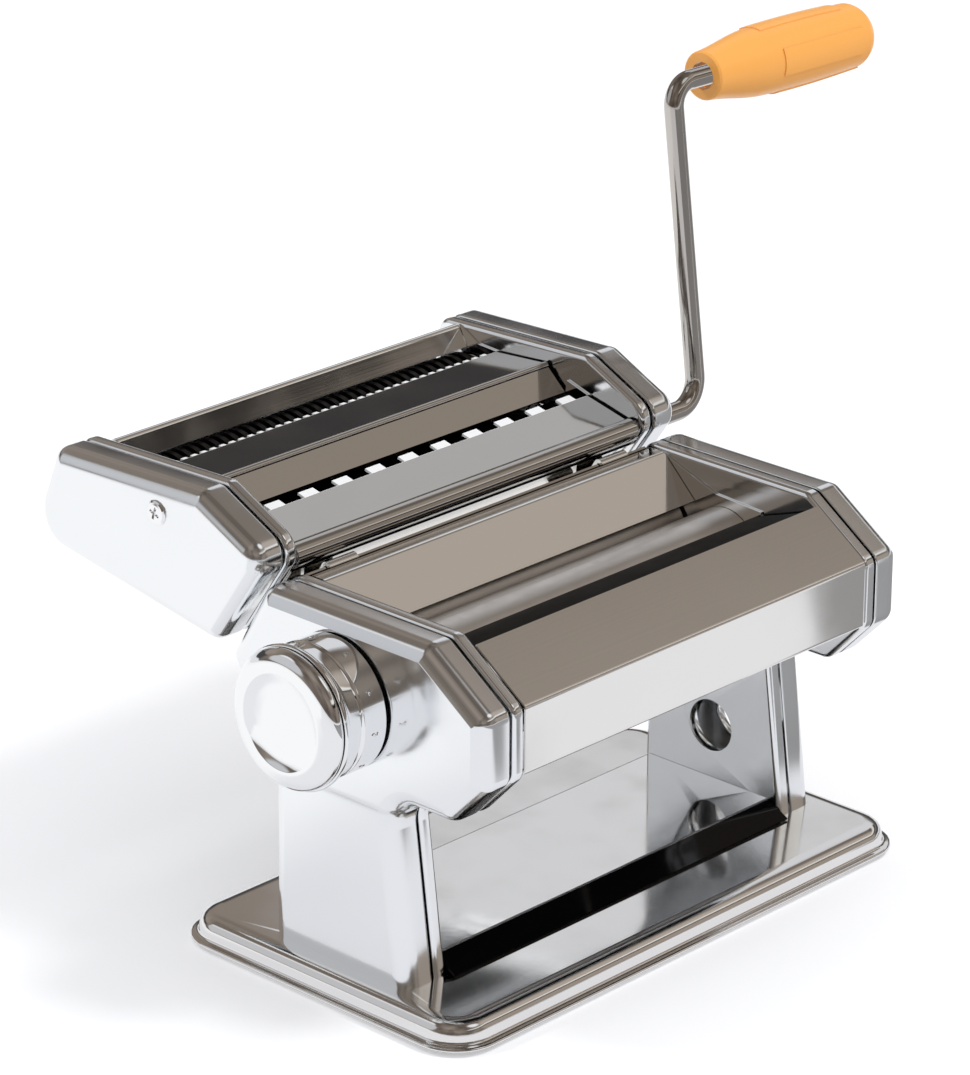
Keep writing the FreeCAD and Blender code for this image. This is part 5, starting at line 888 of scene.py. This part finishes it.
# The white behind starts at a slightly wandering line.
drift = add_node(tree, "ShaderNodeTexNoise", Vector=place, Scale=7.0, Detail=1.0)
depth = add_node(tree, "ShaderNodeSeparateXYZ", Vector=place).outputs["Y"]
wander = add_node(tree, "ShaderNodeMath", {"operation": "MULTIPLY_ADD"},
                  input0=drift.outputs["Fac"], input1=0.12, input2=depth)
mirrored = paint(tree, place, card, "#ffffff", [(wander.outputs[0], 0.135, 0.185)])
# For glossy rays the floor glows with this picture: a painted reflection with painted shade.
mirror_glow = add_node(tree, "ShaderNodeEmission", Color=mirrored, Strength=1.06)
light_path = add_node(tree, "ShaderNodeLightPath")
glossy_share = add_node(tree, "ShaderNodeMath", {"operation": "MULTIPLY"},
                        input0=light_path.outputs["Is Glossy Ray"], input1=0.8)
lift = add_node(tree, "ShaderNodeMath", {"operation": "MULTIPLY"},
                input0=light_path.outputs["Is Camera Ray"], input1=0.22)
shader.inputs["Emission Color"].default_value = linear("#ffffff")
tree.links.new(lift.outputs[0], shader.inputs["Emission Strength"])
both = add_node(tree, "ShaderNodeMixShader", input0=glossy_share.outputs[0],
                input1=shader.outputs[0], input2=mirror_glow.outputs[0])
output = next(node for node in tree.nodes if node.type == "OUTPUT_MATERIAL")
tree.links.new(both.outputs[0], output.inputs["Surface"])
floor_mesh.materials.append(white_paper)


# The studio round the object, as its metal mirrors it: taupe walls, a dark band over the
# pale sweep behind, one large soft box high behind it and one to the rear left.

world = bpy.data.worlds.new("studio")
bpy.context.scene.world = world
world.use_nodes = True
tree = world.node_tree
tree.nodes.clear()
towards = add_node(tree, "ShaderNodeTexCoord").outputs["Generated"]
patches = add_node(tree, "ShaderNodeTexNoise", Vector=towards, Scale=1.6, Detail=2.0)
walls = add_node(tree, "ShaderNodeValToRGB", Fac=patches.outputs["Fac"])
for stop, position, colour in zip(walls.color_ramp.elements, (0.32, 0.68), ("#574e47", "#958b81")):
    stop.position = position
    stop.color = linear(colour)

UP, RIGHTWARDS, REARWARDS = (0.0, 0.0, 1.0), (0.686, -0.727, 0.0), (0.727, 0.686, 0.0)
IN_FRONT, BEHIND = ((0.785, -0.62, 0.0), 0.25, 0.5), (REARWARDS, 0.25, 0.45)
rearwards = add_node(tree, "ShaderNodeVectorMath", {"operation": "DOT_PRODUCT"},
                     input0=towards, input1=REARWARDS)
sweep_top = add_node(tree, "ShaderNodeMapRange", {"interpolation_type": "SMOOTHSTEP"},
                     Value=rearwards.outputs["Value"], From_Min=BEHIND[1], From_Max=BEHIND[2],
                     To_Min=0.03, To_Max=0.12)
height = add_node(tree, "ShaderNodeSeparateXYZ", Vector=towards).outputs["Z"]
over_sweep = add_node(tree, "ShaderNodeMath", {"operation": "SUBTRACT"},
                      input0=height, input1=sweep_top.outputs[0])
layers = [
    # A paler part of the wall, and a pale patch for each of the two lamps
    ("#b3a99f", ((0.676, -0.42, 0.61), 0.93, 0.995)),
    ("#f2f2f3", ((0.238, -0.493, 0.837), 0.965, 0.992)),
    ("#f2f2f3", ((-0.512, 0.577, 0.636), 0.965, 0.992)),
    ("#a0958a", ((0.676, -0.647, 0.354), 0.93, 0.985)),
    # A bright strip in front, and a dark one under it
    ("#ece9e4", IN_FRONT, (UP, 0.46, 0.49), (UP, 0.59, 0.54)),
    ("#232120", IN_FRONT, (UP, 0.375, 0.40), (UP, 0.47, 0.44)),
    # The dark band behind, the large soft box over it, and the box to the rear left
    ("#464546", BEHIND, (UP, 0.34, 0.30)),
    ("#dcdde0", BEHIND, (UP, 0.385, 0.40), (UP, 0.74, 0.66),
     (RIGHTWARDS, -0.04, -0.01), (RIGHTWARDS, 0.42, 0.34)),
    ("#c8c9cc", ((-0.70, 0.58, 0.41), 0.92, 0.95)),
    # The pale sweep round the floor, which rises higher behind
    ("#e8e9ec", (over_sweep.outputs[0], 0.02, -0.02)),
]
picture = walls.outputs["Color"]
for colour, *edges in layers:
    picture = paint(tree, towards, picture, colour, edges)
light_path = add_node(tree, "ShaderNodeLightPath")
lit = add_node(tree, "ShaderNodeMix", {"data_type": "RGBA"},
               Factor=light_path.outputs["Is Glossy Ray"], input6=linear("#e4e5e8"),
               input7=picture)
seen = add_node(tree, "ShaderNodeMix", {"data_type": "RGBA"},
                Factor=light_path.outputs["Is Camera Ray"], input6=lit.outputs[2],
                input7=linear("#ffffff"))
background = add_node(tree, "ShaderNodeBackground", Color=seen.outputs[2], Strength=1.0)
add_node(tree, "ShaderNodeOutputWorld", Surface=background.outputs[0])


# One soft lamp hangs over the front right and a smaller one behind at the left, for soft
# shadows. The metal mirrors the studio's own pale patches instead of the lamps.

def soft_lamp(name, place, target, size, power):
    """A square area lamp turned towards a point."""
    light = bpy.data.lights.new(name, "AREA")
    light.size = size
    light.energy = power
    lamp = bpy.data.objects.new(name, light)
    lamp.location = place
    lamp.visible_glossy = False
    lamp.rotation_mode = "QUATERNION"
    lamp.rotation_quaternion = (Vector(target) - Vector(place)).to_track_quat("-Z", "Y")
    bpy.context.scene.collection.objects.link(lamp)


middle = (cad_box[0] + cad_box[1]) / 2
soft_lamp("key_lamp", (0.5, -0.9, 1.7), middle, 0.4, 14.0)
soft_lamp("rim_lamp", (-0.9, 1.1, 1.3), middle, 0.22, 6.0)


# The camera stands at the front left, a little above the machine, with a long lens.
# Its focal length is in pixels of a frame that is 1075 of them high.

FRAME_HEIGHT, FOCAL_LENGTH = 1075, 4650.9
azimuth, elevation, roll = (math.radians(a) for a in (-46.65, 21.58, 0.29))
back = Vector((math.sin(azimuth) * math.cos(elevation),
               -math.cos(azimuth) * math.cos(elevation), math.sin(elevation)))
right = Vector((math.cos(azimuth), math.sin(azimuth), 0.0))
up = back.cross(right)
tilted_right = right * math.cos(roll) + up * math.sin(roll)
tilted_up = back.cross(tilted_right)
lens = bpy.data.cameras.new("camera")
lens.sensor_width = 24.0
lens.lens = FOCAL_LENGTH / FRAME_HEIGHT * lens.sensor_width
lens.clip_start, lens.clip_end = 0.05, 50.0
camera = bpy.data.objects.new("camera", lens)
camera.rotation_mode = "QUATERNION"
camera.rotation_quaternion = Matrix((tilted_right, tilted_up, back)).transposed().to_quaternion()
camera.location = (-0.9611, -0.8797, 0.6332)
bpy.context.scene.collection.objects.link(camera)
bpy.context.scene.camera = camera
bpy.context.scene.view_settings.view_transform = "Standard"
